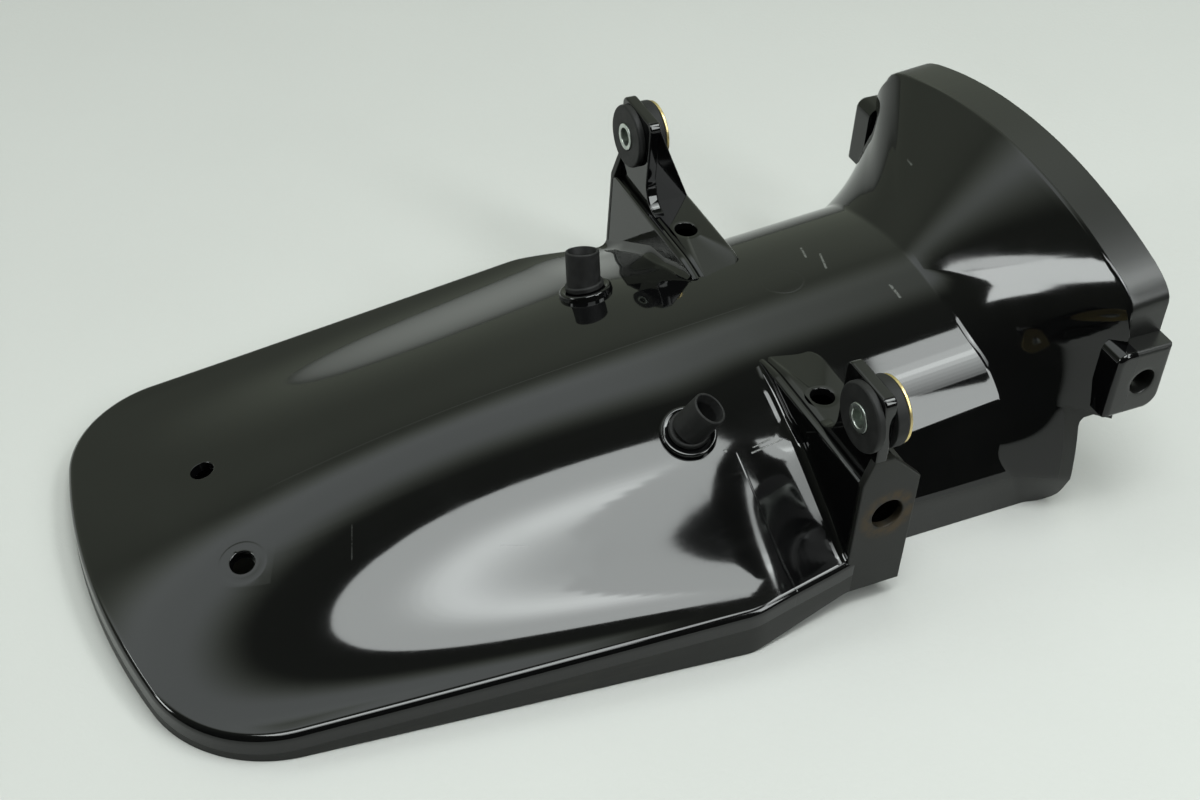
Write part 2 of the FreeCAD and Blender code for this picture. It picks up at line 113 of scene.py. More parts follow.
class Value:
    """A node socket that takes part in sums."""

    def __init__(self, tree: "Tree", socket: bpy.types.NodeSocket) -> None:
        """Keep the socket and the tree it is in."""
        self.tree = tree
        self.socket = socket

    def _math(self, operation: str, *items: Union["Value", Number]) -> "Value":
        """Add one Math node.

        Args:
            operation: Name of the operation.
            items: Its operands in order.

        Returns:
            The node's result.
        """
        return self.tree.node("ShaderNodeMath", {"operation": operation}, dict(enumerate(items)))

    def __add__(self, other: Union["Value", Number]) -> "Value":
        """Sum."""
        return self._math("ADD", self, other)

    __radd__ = __add__

    def __sub__(self, other: Union["Value", Number]) -> "Value":
        """Difference."""
        return self._math("SUBTRACT", self, other)

    def __rsub__(self, other: Number) -> "Value":
        """Difference from a number."""
        return self._math("SUBTRACT", other, self)

    def __mul__(self, other: Union["Value", Number]) -> "Value":
        """Product."""
        return self._math("MULTIPLY", self, other)

    __rmul__ = __mul__

    def __truediv__(self, other: Union["Value", Number]) -> "Value":
        """Quotient."""
        return self._math("DIVIDE", self, other)

    def __rtruediv__(self, other: Number) -> "Value":
        """Quotient of a number."""
        return self._math("DIVIDE", other, self)

    def __pow__(self, other: Union["Value", Number]) -> "Value":
        """Power."""
        return self._math("POWER", self, other)

    def root(self) -> "Value":
        """Square root."""
        return self._math("SQRT", self)

    def low(self, other: Union["Value", Number]) -> "Value":
        """Smaller of two values."""
        return self._math("MINIMUM", self, other)

    def high(self, other: Union["Value", Number]) -> "Value":
        """Larger of two values."""
        return self._math("MAXIMUM", self, other)

    def size(self) -> "Value":
        """Value without its sign."""
        return self._math("ABSOLUTE", self)

    def sine(self) -> "Value":
        """Sine of an angle."""
        return self._math("SINE", self)

    def cosine(self) -> "Value":
        """Cosine of an angle."""
        return self._math("COSINE", self)

    def whole(self) -> "Value":
        """Whole part of a value."""
        return self._math("FLOOR", self)

    def step(self, start: Number, end: Number) -> "Value":
        """Smooth step.

        Args:
            start: Input at which the result is 0.
            end: Input at which the result is 1.

        Returns:
            A value from 0 to 1.
        """
        settings = {"interpolation_type": "SMOOTHSTEP", "clamp": True}
        return self.tree.node("ShaderNodeMapRange", settings, {0: self, 1: start, 2: end, 3: 0.0, 4: 1.0})


Feed = Union[Value, Number, Sequence[float], None, Any]


class Tree:
    """A node tree that is written as calls and sums."""

    def __init__(self, tree: bpy.types.NodeTree) -> None:
        """Start on an empty tree."""
        self.tree = tree
        tree.nodes.clear()

    def node(self, kind: str, settings: Optional[dict] = None, feeds: Optional[dict] = None,
             out: Union[int, str] = 0) -> Value:
        """Add one node.

        Args:
            kind: Blender's name of the node type.
            settings: Attributes of the node, set before its sockets.
            feeds: Values or links by socket name or number.
            out: Name or number of the output that is returned.

        Returns:
            The chosen output, ready for sums.
        """
        made = self.tree.nodes.new(kind)
        for name, value in (settings or {}).items():
            setattr(made, name, value)
        for key, value in (feeds or {}).items():
            if isinstance(value, Value):
                self.tree.links.new(value.socket, made.inputs[key])
            elif value is not None:
                made.inputs[key].default_value = value
        return Value(self, made.outputs[out]) if len(made.outputs) else Value(self, made.inputs[0])

    def axes(self, vector: Value) -> tuple[Value, Value, Value]:
        """Split a vector.

        Args:
            vector: Vector socket.

        Returns:
            Its three numbers.
        """
        split = self.node("ShaderNodeSeparateXYZ", None, {0: vector})
        return tuple(Value(self, s) for s in split.socket.node.outputs)

    def vector(self, operation: str, *items: Feed) -> Value:
        """Vector sum or product.

        Args:
            operation: Name of the operation.
            items: Its operands.

        Returns:
            The result; for a dot product or a distance, the number.
        """
        out = "Value" if operation in ("DOT_PRODUCT", "DISTANCE") else "Vector"
        return self.node("ShaderNodeVectorMath", {"operation": operation}, dict(enumerate(items)), out)

    def blend(self, share: Feed, first: Feed, second: Feed) -> Value:
        """Mix two colours.

        Args:
            share: 0 for the first colour, 1 for the second.
            first: Colour or link.
            second: Colour or link.

        Returns:
            The mixed colour.
        """
        settings = {"data_type": "RGBA", "blend_type": "MIX", "clamp_factor": True}
        return self.node("ShaderNodeMix", settings, {0: share, 6: first, 7: second}, 2)

    def noise(self, place: Value, scale: float, detail: float = 2.0, rough: float = 0.5,
              stretch: Optional[Sequence[float]] = None) -> Value:
        """Noise value.

        Args:
            place: Coordinates.
            scale: Cells per metre.
            detail: Octaves.
            rough: Weight of the finer octaves.
            stretch: Scale along each axis, where the pattern is drawn out.

        Returns:
            A value around 0.5.
        """
        where = place
        if stretch is not None:
            where = self.node("ShaderNodeMapping", None, {"Vector": place, "Scale": tuple(stretch)})
        return self.node("ShaderNodeTexNoise", {"noise_dimensions": "3D"},
                         {"Vector": where, "Scale": scale, "Detail": detail, "Roughness": rough})

    def stroke(self, place: Value, start: Sequence[float], end: Sequence[float], width: float) -> Value:
        """Mask of a straight mark.

        Args:
            place: Object coordinates.
            start: First end in metres.
            end: Second end in metres.
            width: Half width in metres.

        Returns:
            1 on the mark and 0 beyond it.
        """
        run = [b - a for a, b in zip(start, end)]
        square = sum(r * r for r in run)
        away = self.vector("SUBTRACT", place, tuple(start))
        share = self.vector("DOT_PRODUCT", away, tuple(r / square for r in run)).high(0.0).low(1.0)
        scaled = {0: tuple(run), "Scale": share}
        foot = self.node("ShaderNodeVectorMath", {"operation": "SCALE"}, scaled, "Vector")
        gap = self.vector("DISTANCE", away, foot)
        core = width * 0.35
        return gap.step(width, core)


class NodeShape:
    """A geometry tree with named inputs that shapes a mesh."""

    def __init__(self, name: str) -> None:
        """Open an empty tree with a geometry input and output.

        Args:
            name: Name of the tree.
        """
        self.group = bpy.data.node_groups.new(name, "GeometryNodeTree")
        self.tree = Tree(self.group)
        self.ids: dict[str, str] = {}
        self._input("Geometry", "NodeSocketGeometry")
        self.group.interface.new_socket("Geometry", in_out="OUTPUT", socket_type="NodeSocketGeometry")
        self.entry = self.group.nodes.new("NodeGroupInput")

    def _input(self, name: str, kind: str) -> None:
        """Declare one input and keep its identifier."""
        socket = self.group.interface.new_socket(name, in_out="INPUT", socket_type=kind)
        self.ids[name] = socket.identifier

    def take(self, name: str, kind: str = "NodeSocketFloat") -> Value:
        """Add a named input.

        Args:
            name: Name of the input.
            kind: Socket type.

        Returns:
            The input's value inside the tree.
        """
        self._input(name, kind)
        return Value(self.tree, self.entry.outputs[name])

    def geometry(self) -> Value:
        """Mesh that comes in."""
        return Value(self.tree, self.entry.outputs["Geometry"])

    def close(self, shape: Value, material: Value) -> None:
        """End the tree in real geometry with a material.

        Args:
            shape: Geometry to hand out.
            material: Material input.
        """
        real = self.tree.node("GeometryNodeRealizeInstances", None, {0: shape})
        dressed = self.tree.node("GeometryNodeSetMaterial", None, {"Geometry": real, "Material": material})
        leave = self.group.nodes.new("NodeGroupOutput")
        self.group.links.new(dressed.socket, leave.inputs[0])

    def run(self, points: np.ndarray, sizes: dict[str, Any]) -> tuple[np.ndarray, Faces]:
        """Shape a set of points.

        Args:
            points: Vertices that go in.
            sizes: Values of the named inputs.

        Returns:
            Vertices and faces that come out.
        """
        mesh = bpy.data.meshes.new("shaping")
        mesh.from_pydata([tuple(p) for p in points], [], [])
        obj = bpy.data.objects.new("shaping", mesh)
        bpy.context.scene.collection.objects.link(obj)
        modifier = obj.modifiers.new("shape", "NODES")
        modifier.node_group = self.group
        for name, value in sizes.items():
            modifier[self.ids[name]] = value
        shaped = read_mesh(obj)
        bpy.data.objects.remove(obj)
        bpy.data.meshes.remove(mesh)
        return shaped


def read_mesh(obj: bpy.types.Object) -> tuple[np.ndarray, Faces]:
    """Read what an object's curve or modifiers give.

    Args:
        obj: Object to evaluate.

    Returns:
        Vertices and faces.
    """
    graph = bpy.context.evaluated_depsgraph_get()
    mesh = bpy.data.meshes.new_from_object(obj.evaluated_get(graph), depsgraph=graph)
    flat = np.zeros(len(mesh.vertices) * 3)
    mesh.vertices.foreach_get("co", flat)
    faces = [tuple(p.vertices) for p in mesh.polygons]
    bpy.data.meshes.remove(mesh)
    return flat.reshape(-1, 3), faces


@dataclass
class CrownRule:
    """Rule of the moulding's upper surface: a steep nose line bends into a long back line."""

    nose_height: float = 12.55
    nose_slope: float = 0.317
    back_height: float = 37.1
    back_slope: float = 0.0858
    bend_softness: float = 6.0
    lip_height: float = 9.0
    lip_slope: float = 0.0525
    flank_hollow: float = 1.17
    flank_ease: float = 0.0042
    flank_brim: float = 0.458
    sweep_from: float = 203.5
    sweep_rise: float = 2.8
    sweep_inner: tuple[float, float] = (44.0, 58.0)
    sweep_outer: tuple[float, float] = (92.0, 76.0)
    tip_half: float = TIP_HALF
    tip_sag: float = TIP_RADIUS - math.sqrt(TIP_RADIUS ** 2 - TIP_HALF ** 2)
    shoulder_at: float = 189.0
    shoulder_half: float = 100.0
    shape: NodeShape = field(init=False)

    def __post_init__(self) -> None:
        """Write the rule as a geometry tree."""
        self.shape = NodeShape("crown_rule")
        take = self.shape.take
        tree = self.shape.tree
        station, across, _ = tree.axes(tree.node("GeometryNodeInputPosition"))
        nose = take("Nose Height") + take("Nose Slope") * station
        back = take("Back Height") + take("Back Slope") * station
        gap = (nose - back) * 0.5
        crown = (nose + back) * 0.5 - (gap * gap + take("Bend Softness") ** 2.0).root()
        tip = take("Tip Half")
        sag = take("Tip Sag")
        shoulder = take("Shoulder At")
        taper = (take("Shoulder Half") - tip) / (shoulder - sag)
        side = tip + taper * (station - sag)
        share = ((station - shoulder) / (take("Rib At") - shoulder)).high(0.0).low(1.0)
        half = side + (take("Plate Half") - side) * (share * share * (3.0 - 2.0 * share))
        lip = take("Lip Height") + take("Lip Slope") * station
        spread = (across / half) ** 2.0
        hollow = take("Flank Hollow") - take("Flank Ease") * station
        fall = (1.0 - spread) * (1.0 - hollow * spread - take("Flank Brim") * spread * spread)
        wide = across.size()
        along = (station - take("Sweep From")).high(0.0) / (RIB_AT - self.sweep_from)
        sweep = along ** 2.0 * take("Sweep Rise")
        sweep = sweep * wide.step(*self.sweep_inner) * wide.step(*self.sweep_outer)
        height = lip + (crown - lip) * fall + sweep
        place = tree.node("ShaderNodeCombineXYZ", None, {0: station, 1: across, 2: height - take("Drop")})
        feeds = {"Geometry": self.shape.geometry(), "Position": place}
        moved = tree.node("GeometryNodeSetPosition", None, feeds)
        self.shape.close(moved, take("Finish", "NodeSocketMaterial"))

    def lift(self, plan: np.ndarray, drop: float = 0.0) -> np.ndarray:
        """Raise points of the plan onto the upper surface.

        Args:
            plan: Array of station and across.
            drop: How far below the surface they end.

        Returns:
            Array of station, across and height.
        """
        flat = np.asarray(plan, float).reshape(-1, 2)
        points = np.column_stack([flat, np.zeros(len(flat))])
        sizes = {
            "Nose Height": self.nose_height, "Nose Slope": self.nose_slope,
            "Back Height": self.back_height, "Back Slope": self.back_slope,
            "Bend Softness": self.bend_softness, "Lip Height": self.lip_height,
            "Lip Slope": self.lip_slope, "Flank Hollow": self.flank_hollow,
            "Flank Ease": self.flank_ease, "Flank Brim": self.flank_brim,
            "Tip Half": self.tip_half, "Tip Sag": self.tip_sag, "Shoulder At": self.shoulder_at,
            "Shoulder Half": self.shoulder_half, "Rib At": RIB_AT, "Plate Half": PLATE_HALF, "Drop": drop,
            "Sweep From": self.sweep_from, "Sweep Rise": self.sweep_rise,
        }
        lifted, _ = self.shape.run(points, sizes)
        lifted[:, :2] = flat
        return lifted.reshape(np.shape(plan)[:-1] + (3,))

    def seat(self, station: float, across: float) -> tuple[np.ndarray, np.ndarray]:
        """Point and upward normal on the surface.

        Args:
            station: Distance from the tip.
            across: Distance from the centre plane.

        Returns:
            The point and the unit normal.
        """
        probe = 0.5
        spots = [(0, 0), (probe, 0), (-probe, 0), (0, probe), (0, -probe)]
        rows = self.lift(np.array([(station + a, across + b) for a, b in spots]))
        normal = np.array([rows[2, 2] - rows[1, 2], rows[4, 2] - rows[3, 2], 2 * probe])
        return rows[0], normal / np.linalg.norm(normal)


class Skin:
    """Gathers patches of faces and welds them into one mesh."""

    def __init__(self) -> None:
        """Start with no faces."""
        self.points: list[np.ndarray] = []
        self.faces: Faces = []
        self.finish: list[int] = []
        self.count = 0

    def add(self, points: np.ndarray, faces: Sequence[Sequence[int]],
            finish: Union[int, Sequence[int]] = 0, both: bool = True) -> None:
        """Add faces, and their mirror image on the other side.

        Args:
            points: Vertices in stations and millimetres.
            faces: Vertex numbers of each face, outward side counter-clockwise.
            finish: Finish of all the faces or of each.
            both: Whether the mirror image is added too.
        """
        points = np.asarray(points, float).reshape(-1, 3)
        marks = [int(finish)] * len(faces) if isinstance(finish, int) else [int(f) for f in finish]
        for sign in ((1, -1) if both else (1,)):
            order = 1 if sign > 0 else -1
            self.points.append(points * np.array([1.0, sign, 1.0]))
            self.faces += [tuple(self.count + i for i in face[::order]) for face in faces]
            self.finish += marks
            self.count += len(points)

    def grid(self, points: np.ndarray, finish: Union[int, np.ndarray] = Face.GLOSS, flip: bool = False,
             keep: Optional[np.ndarray] = None, loop: bool = False, both: bool = True) -> None:
        """Add a patch of quads.

        Args:
            points: Rows and columns of points.
            finish: Finish of all quads, or of each column of quads.
            flip: Whether the faces are turned over.
            keep: Mask of the quads that are kept.
            loop: Whether the last column joins the first.
            both: Whether the mirror image is added too.
        """
        rows, cols = points.shape[:2]
        faces, marks = [], []
        for r in range(rows - 1):
            for c in range(cols if loop else cols - 1):
                if keep is not None and not keep[r, c]:
                    continue
                d = (c + 1) % cols
                quad = (r * cols + c, (r + 1) * cols + c, (r + 1) * cols + d, r * cols + d)
                faces.append(quad[::-1] if flip else quad)
                marks.append(int(finish if isinstance(finish, int) else finish[c]))
        self.add(points.reshape(-1, 3), faces, marks, both)

    def mesh(self, name: str, weld: float = 0.004) -> bpy.types.Mesh:
        """Weld the patches.

        Args:
            name: Name of the mesh.
            weld: Distance in millimetres below which points become one.

        Returns:
            The mesh in the part's frame.
        """
        points = to_row(np.concatenate(self.points))
        keys = np.round(np.concatenate(self.points) / weld).astype(np.int64)
        _, first, index = np.unique(keys, axis=0, return_index=True, return_inverse=True)
        index = index.reshape(-1)
        faces, marks = [], []
        for face, mark in zip(self.faces, self.finish):
            ring = list(dict.fromkeys(int(index[i]) for i in face))
            if len(ring) > 2:
                faces.append(ring)
                marks.append(mark)
        mesh = bpy.data.meshes.new(name)
        mesh.from_pydata([tuple(p) for p in points[first]], [], faces)
        mesh.polygons.foreach_set("material_index", marks)
        mesh.validate()
        mesh.update()
        return mesh


def finish_piece(name: str, skin: Skin, materials: Sequence[bpy.types.Material], node: str,
                 crease: float = 50.0) -> None:
    """Weld and smooth a piece, dress it and hang it on the part.

    Args:
        name: Name of the piece.
        skin: Its gathered patches.
        materials: Materials in slot order.
        node: Solid that the piece stands for.
        crease: Angle in degrees above which an edge stays sharp.
    """
    mesh = skin.mesh(name)
    for material in materials:
        mesh.materials.append(material)
    mesh.shade_smooth()
    mesh.set_sharp_from_angle(angle=math.radians(crease))
    raw = bpy.data.objects.new(name + "_raw", mesh)
    bpy.context.scene.collection.objects.link(raw)
    weigh = raw.modifiers.new("weigh", "WEIGHTED_NORMAL")
    weigh.mode = "FACE_AREA"
    weigh.keep_sharp = True
    graph = bpy.context.evaluated_depsgraph_get()
    done = bpy.data.meshes.new_from_object(raw.evaluated_get(graph), depsgraph=graph)
    bpy.data.objects.remove(raw)
    bpy.data.meshes.remove(mesh)
    done.name = name
    obj = bpy.data.objects.new(name, done)
    bpy.context.scene.collection.objects.link(obj)
    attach(obj, "root")
    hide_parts(node)
    log.info("%s: %d faces", name, len(done.polygons))


def arc(centre: Sequence[float], radius: float, start: float, end: float, count: int) -> np.ndarray:
    """Points along a flat arc.

    Args:
        centre: Centre of the arc.
        radius: Its radius.
        start: First angle in radians.
        end: Last angle in radians.
        count: Number of points.

    Returns:
        Array of points.
    """
    turn = np.linspace(start, end, count)
    return np.column_stack([centre[0] + radius * np.cos(turn), centre[1] + radius * np.sin(turn)])


def bow(first: np.ndarray, pull: np.ndarray, last: np.ndarray,
        share: Union[float, np.ndarray]) -> np.ndarray:
    """Points on a bowed line that leaves and arrives towards one corner.

    Args:
        first: Start of the line.
        pull: Corner that it bends towards.
        last: End of the line.
        share: Share of the way, from 0 to 1.

    Returns:
        Points at that share.
    """
    return (1 - share) ** 2 * first + 2 * share * (1 - share) * pull + share ** 2 * last


def rounded(corners: Sequence[Spot], pitch: float = math.inf, steps_round: int = 7) -> np.ndarray:
    """Closed outline with rounded corners.

    Args:
        corners: Corner points, each with its radius, counter-clockwise.
        pitch: Longest step along the straight runs.
        steps_round: Points on each rounded corner.

    Returns:
        Array of outline points.
    """
    parts = []
    n = len(corners)
    for i in range(n):
        a, b, c = (np.array(corners[(i + k) % n][:2]) for k in (-1, 0, 1))
        radius = corners[i][2]
        u = (a - b) / np.linalg.norm(a - b)
        v = (c - b) / np.linalg.norm(c - b)
        if radius <= 0:
            parts.append(b[None])
            continue
        half = math.acos(float(np.clip(u @ v, -1, 1))) / 2
        reach = radius / math.tan(half)
        centre = b + (u + v) / np.linalg.norm(u + v) * radius / math.sin(half)
        p, q = b + u * reach - centre, b + v * reach - centre
        first = math.atan2(p[1], p[0])
        sweep = math.atan2(p[0] * q[1] - p[1] * q[0], p @ q)
        parts.append(arc(centre, radius, first, first + sweep, steps_round))
    loop = np.concatenate(parts)
    out = []
    for p, q in zip(loop, np.roll(loop, -1, axis=0)):
        steps = max(1, math.ceil(np.linalg.norm(q - p) / pitch))
        out += [p + (q - p) * k / steps for k in range(steps)]
    return np.array(out)


def inset(loop: np.ndarray, distance: float) -> np.ndarray:
    """Move a counter-clockwise outline inwards.

    Args:
        loop: Outline points.
        distance: How far.

    Returns:
        Outline with the same number of points.
    """
    sharpest = 0.4
    run = np.roll(loop, -1, axis=0) - loop
    run /= np.linalg.norm(run, axis=1)[:, None]
    after = np.column_stack([-run[:, 1], run[:, 0]])
    before = np.roll(after, 1, axis=0)
    mid = before + after
    mid /= np.linalg.norm(mid, axis=1)[:, None]
    stretch = distance / np.maximum((mid * before).sum(1), sharpest)
    return loop + mid * stretch[:, None]


@dataclass
class Plate:
    """Flat plate with rounded edges and round holes."""

    outline: np.ndarray
    thick: float
    edge: float
    holes: Sequence[Spot] = ()
    hole_points: int = 40

    def build(self) -> tuple[np.ndarray, Faces]:
        """Make the plate from a filled flat curve.

        Returns:
            Vertices in the plate's plane and depth, and faces.
        """
        curve = bpy.data.curves.new("plate", "CURVE")
        curve.dimensions = "2D"
        curve.fill_mode = "BOTH"
        curve.extrude = self.thick / 2 - self.edge
        curve.bevel_depth = self.edge
        curve.bevel_resolution = 2
        curve.offset = -self.edge
        last = 2 * math.pi * (self.hole_points - 1) / self.hole_points
        rims = [arc((u, v), radius, 0, last, self.hole_points) for u, v, radius in self.holes]
        for loop in [self.outline] + rims:
            spline = curve.splines.new("POLY")
            spline.points.add(len(loop) - 1)
            for point, (u, v) in zip(spline.points, loop):
                point.co = (u, v, 0.0, 1.0)
            spline.use_cyclic_u = True
        obj = bpy.data.objects.new("plate", curve)
        bpy.context.scene.collection.objects.link(obj)
        points, faces = read_mesh(obj)
        points[:, 2] += self.thick / 2
        bpy.data.objects.remove(obj)
        bpy.data.curves.remove(curve)
        return points, faces


@dataclass
class Tongue:
    """Tapered tongue with its lip, skirt and tip holes."""

    rule: CrownRule
    tip_radius: float = TIP_RADIUS
    tip_corner: float = 42.0
    shoulder_round: float = 26.0
    lip_round: float = 2.6
    lip_steps: int = 8
    gloss_band: float = 4.3
    spine_from: float = 45.0
    hole_at: float = 44.5
    hole_half: float = 22.8
    hole_radius: float = 4.0
    seat_radius: float = 7.6
    seat_sink: float = 0.14
    seat_margin: float = 2.5

    def outline(self) -> tuple[np.ndarray, np.ndarray]:
        """Half outline seen from above, from the tip to the rib.

        Returns:
            Points and inward unit normals.
        """
        rule = self.rule
        start = np.array([rule.tip_sag, rule.tip_half])
        shoulder = np.array([rule.shoulder_at, rule.shoulder_half])
        end = np.array([RIB_BACK, PLATE_HALF])
        along = (shoulder - start) / np.linalg.norm(shoulder - start)
        inward = np.array([along[1], -along[0]])
        hub = np.array([self.tip_radius, 0.0])
        base = start + inward * self.tip_corner - hub
        # The corner's arc touches the tip's arc and the straight side.
        b = base @ along
        c = base @ base - (self.tip_radius - self.tip_corner) ** 2
        corner = hub + base + along * (-b - math.sqrt(b * b - c))
        first = (corner - hub) / np.linalg.norm(corner - hub)
        meet = math.atan2(first[1], first[0])
        square = math.atan2(-inward[1], -inward[0])
        leave = (end - shoulder) / np.linalg.norm(end - shoulder)
        bend = math.acos(float(along @ leave))
        reach = self.shoulder_round * math.tan(bend / 2)
        turn_from = shoulder - along * reach
        turn_hub = turn_from + inward * self.shoulder_round
        straight = np.linspace(0, 1, 46)[1:, None]
        jog_from = shoulder + leave * reach
        jog = np.linspace(0, 1, 15)[1:, None]
        points = np.concatenate([
            arc(hub, self.tip_radius, math.pi, meet, 22),
            arc(corner, self.tip_corner, meet, square, 26)[1:],
            (corner - inward * self.tip_corner) * (1 - straight) + turn_from * straight,
            arc(turn_hub, self.shoulder_round, square, square - bend, 6)[1:],
            jog_from * (1 - jog) + end * jog,
        ])
        run = np.gradient(points, axis=0)
        run /= np.linalg.norm(run, axis=1)[:, None]
        normals = np.column_stack([run[:, 1], -run[:, 0]])
        normals[0] = (1.0, 0.0)
        normals[-1] = (0.0, -1.0)
        return points, normals

    def foot(self, station: np.ndarray) -> np.ndarray:
        """Height of the skirt's lower edge."""
        start = self.rule.shoulder_at
        return np.clip((station - start) / (RIB_AT - start), 0, 1) * SKIRT_RISE

    def rows(self, edge: np.ndarray, shares: np.ndarray, drop: float) -> np.ndarray:
        """Rows of the upper surface from the spine to an edge line.

        Args:
            edge: Plan points of the edge.
            shares: Column places from 0 at the spine to 1 at the edge.
            drop: How far below the surface the rows lie.

        Returns:
            Rows and columns of points.
        """
        outline, _ = self.outline()
        spine = self.spine_from + outline[:, 0] * (RIB_BACK - self.spine_from) / RIB_BACK
        root = np.column_stack([spine, np.zeros(len(spine))])
        plan = root[:, None] * (1 - shares[None, :, None]) + edge[:, None] * shares[None, :, None]
        return self.rule.lift(plan, drop)

    def columns(self, crown: np.ndarray, edge_half: float) -> np.ndarray:
        """Column places that meet the arch behind and go on to the edge.

        Args:
            crown: Distances across at which the arch's columns start.
            edge_half: Distance across of the edge line at the rib.

        Returns:
            Places from 0 to 1.
        """
        more = np.linspace(crown[-1], edge_half, 24)[1:]
        return np.concatenate([crown, more]) / edge_half

    def pierce(self, skin: Skin, grid: np.ndarray, drop: float, flip: bool) -> np.ndarray:
        """Open a tip hole in a surface grid.

        Args:
            skin: Mesh that takes the ring around the hole.
            grid: Rows and columns of the surface.
            drop: How far the surface lies below the rule.
            flip: Whether its faces are turned over.

        Returns:
            Mask of the quads that stay.
        """
        point, normal = self.rule.seat(self.hole_at, self.hole_half)
        gap = np.hypot(grid[..., 0] - self.hole_at, grid[..., 1] - self.hole_half)
        keep = np.ones((grid.shape[0] - 1, grid.shape[1] - 1), bool)
        near = np.argwhere(gap < self.seat_radius + self.seat_margin)
        r0, c0 = near.min(0)
        r1, c1 = near.max(0)
        keep[r0:r1, c0:c1] = False
        ring = np.concatenate([grid[r0, c0:c1], grid[r0:r1, c1],
                               grid[r1, c1:c0:-1], grid[r1:r0:-1, c0]])
        angle = np.arctan2(ring[:, 1] - self.hole_half, ring[:, 0] - self.hole_at)
        side = np.array([1.0, 0.0, -normal[0] / normal[2]])
        side /= np.linalg.norm(side)
        up = np.cross(normal, side)
        rows = [ring]
        seat, hole, sunk = self.seat_radius, self.hole_radius, self.seat_sink
        if drop:
            steps = [(hole + 1.6, 0.0), (hole, 0.0)]
        else:
            steps = [(seat + 0.5, 0.0), (seat, sunk * 0.5), (seat - 0.5, sunk), (hole + 1.6, sunk),
                     (hole + 0.45, sunk), (hole + 0.12, sunk + 0.14), (hole, sunk + 0.45)]
        for radius, sink in steps:
            disc = radius * (np.cos(angle)[:, None] * side + np.sin(angle)[:, None] * up)
            spots = self.rule.lift(point[:2] + disc[:, :2], drop)
            spots[:, 2] -= sink
            rows.append(spots)
        if not drop:
            rows.append(rows[-1] - normal * WALL)
        skin.grid(np.array(rows), Face.GLOSS, flip=not flip, loop=True)
        return keep

    def build(self, skin: Skin, crown: np.ndarray, crown_inside: np.ndarray) -> None:
        """Add the tongue to the moulding.

        Args:
            skin: Mesh that is being gathered.
            crown: Column starts of the arch's outer surface.
            crown_inside: Column starts of its inner surface.
        """
        outline, inward = self.outline()
        step = 0.5
        probe = self.rule.lift(np.stack([outline, outline + inward * step], 1))
        lip = probe[:, 0, 2]
        slope = np.maximum((probe[:, 1, 2] - lip) / step, -0.2)
        alpha = np.arctan(slope)
        r = self.lip_round
        middle = lip + slope * r - r * np.sqrt(1 + slope ** 2)
        touch = r - r * np.sin(alpha)
        edge = outline + inward * touch[:, None]
        top = self.rows(edge, self.columns(crown, float(edge[-1, 1])), 0.0)
        keep = self.pierce(skin, top, 0.0, False)
        skin.grid(top, Face.GLOSS, keep=keep)
        profile = [top[:, -1]]
        for k in range(1, self.lip_steps + 1):
            phi = alpha + (math.pi / 2 - alpha) * k / self.lip_steps
            plan = outline + inward * (r - r * np.sin(phi))[:, None]
            profile.append(np.column_stack([plan, middle + r * np.cos(phi)]))
        foot = self.foot(outline[:, 0])
        band = middle - self.gloss_band
        for height in (middle - 1.0, band):
            profile.append(np.column_stack([outline, height]))
        skin.grid(np.stack(profile, 1), Face.GLOSS)
        within = outline + inward * WALL
        skirt = []
        for share in (0.0, 0.08, 0.5, 0.94):
            skirt.append(np.column_stack([outline, band + (foot - band) * share]))
        skirt.append(np.column_stack([outline + inward * 0.3, foot]))
        skirt.append(np.column_stack([within, foot]))
        inner = self.rows(within, self.columns(crown_inside, float(within[-1, 1])), WALL)
        for share in (0.5, 1.0):
            skirt.append(np.column_stack([within, foot + (inner[:, -1, 2] - foot) * share]))
        skin.grid(np.stack(skirt, 1), Face.SATIN)
        keep = self.pierce(skin, inner, WALL, True)
        skin.grid(inner, Face.SATIN, flip=True, keep=keep)


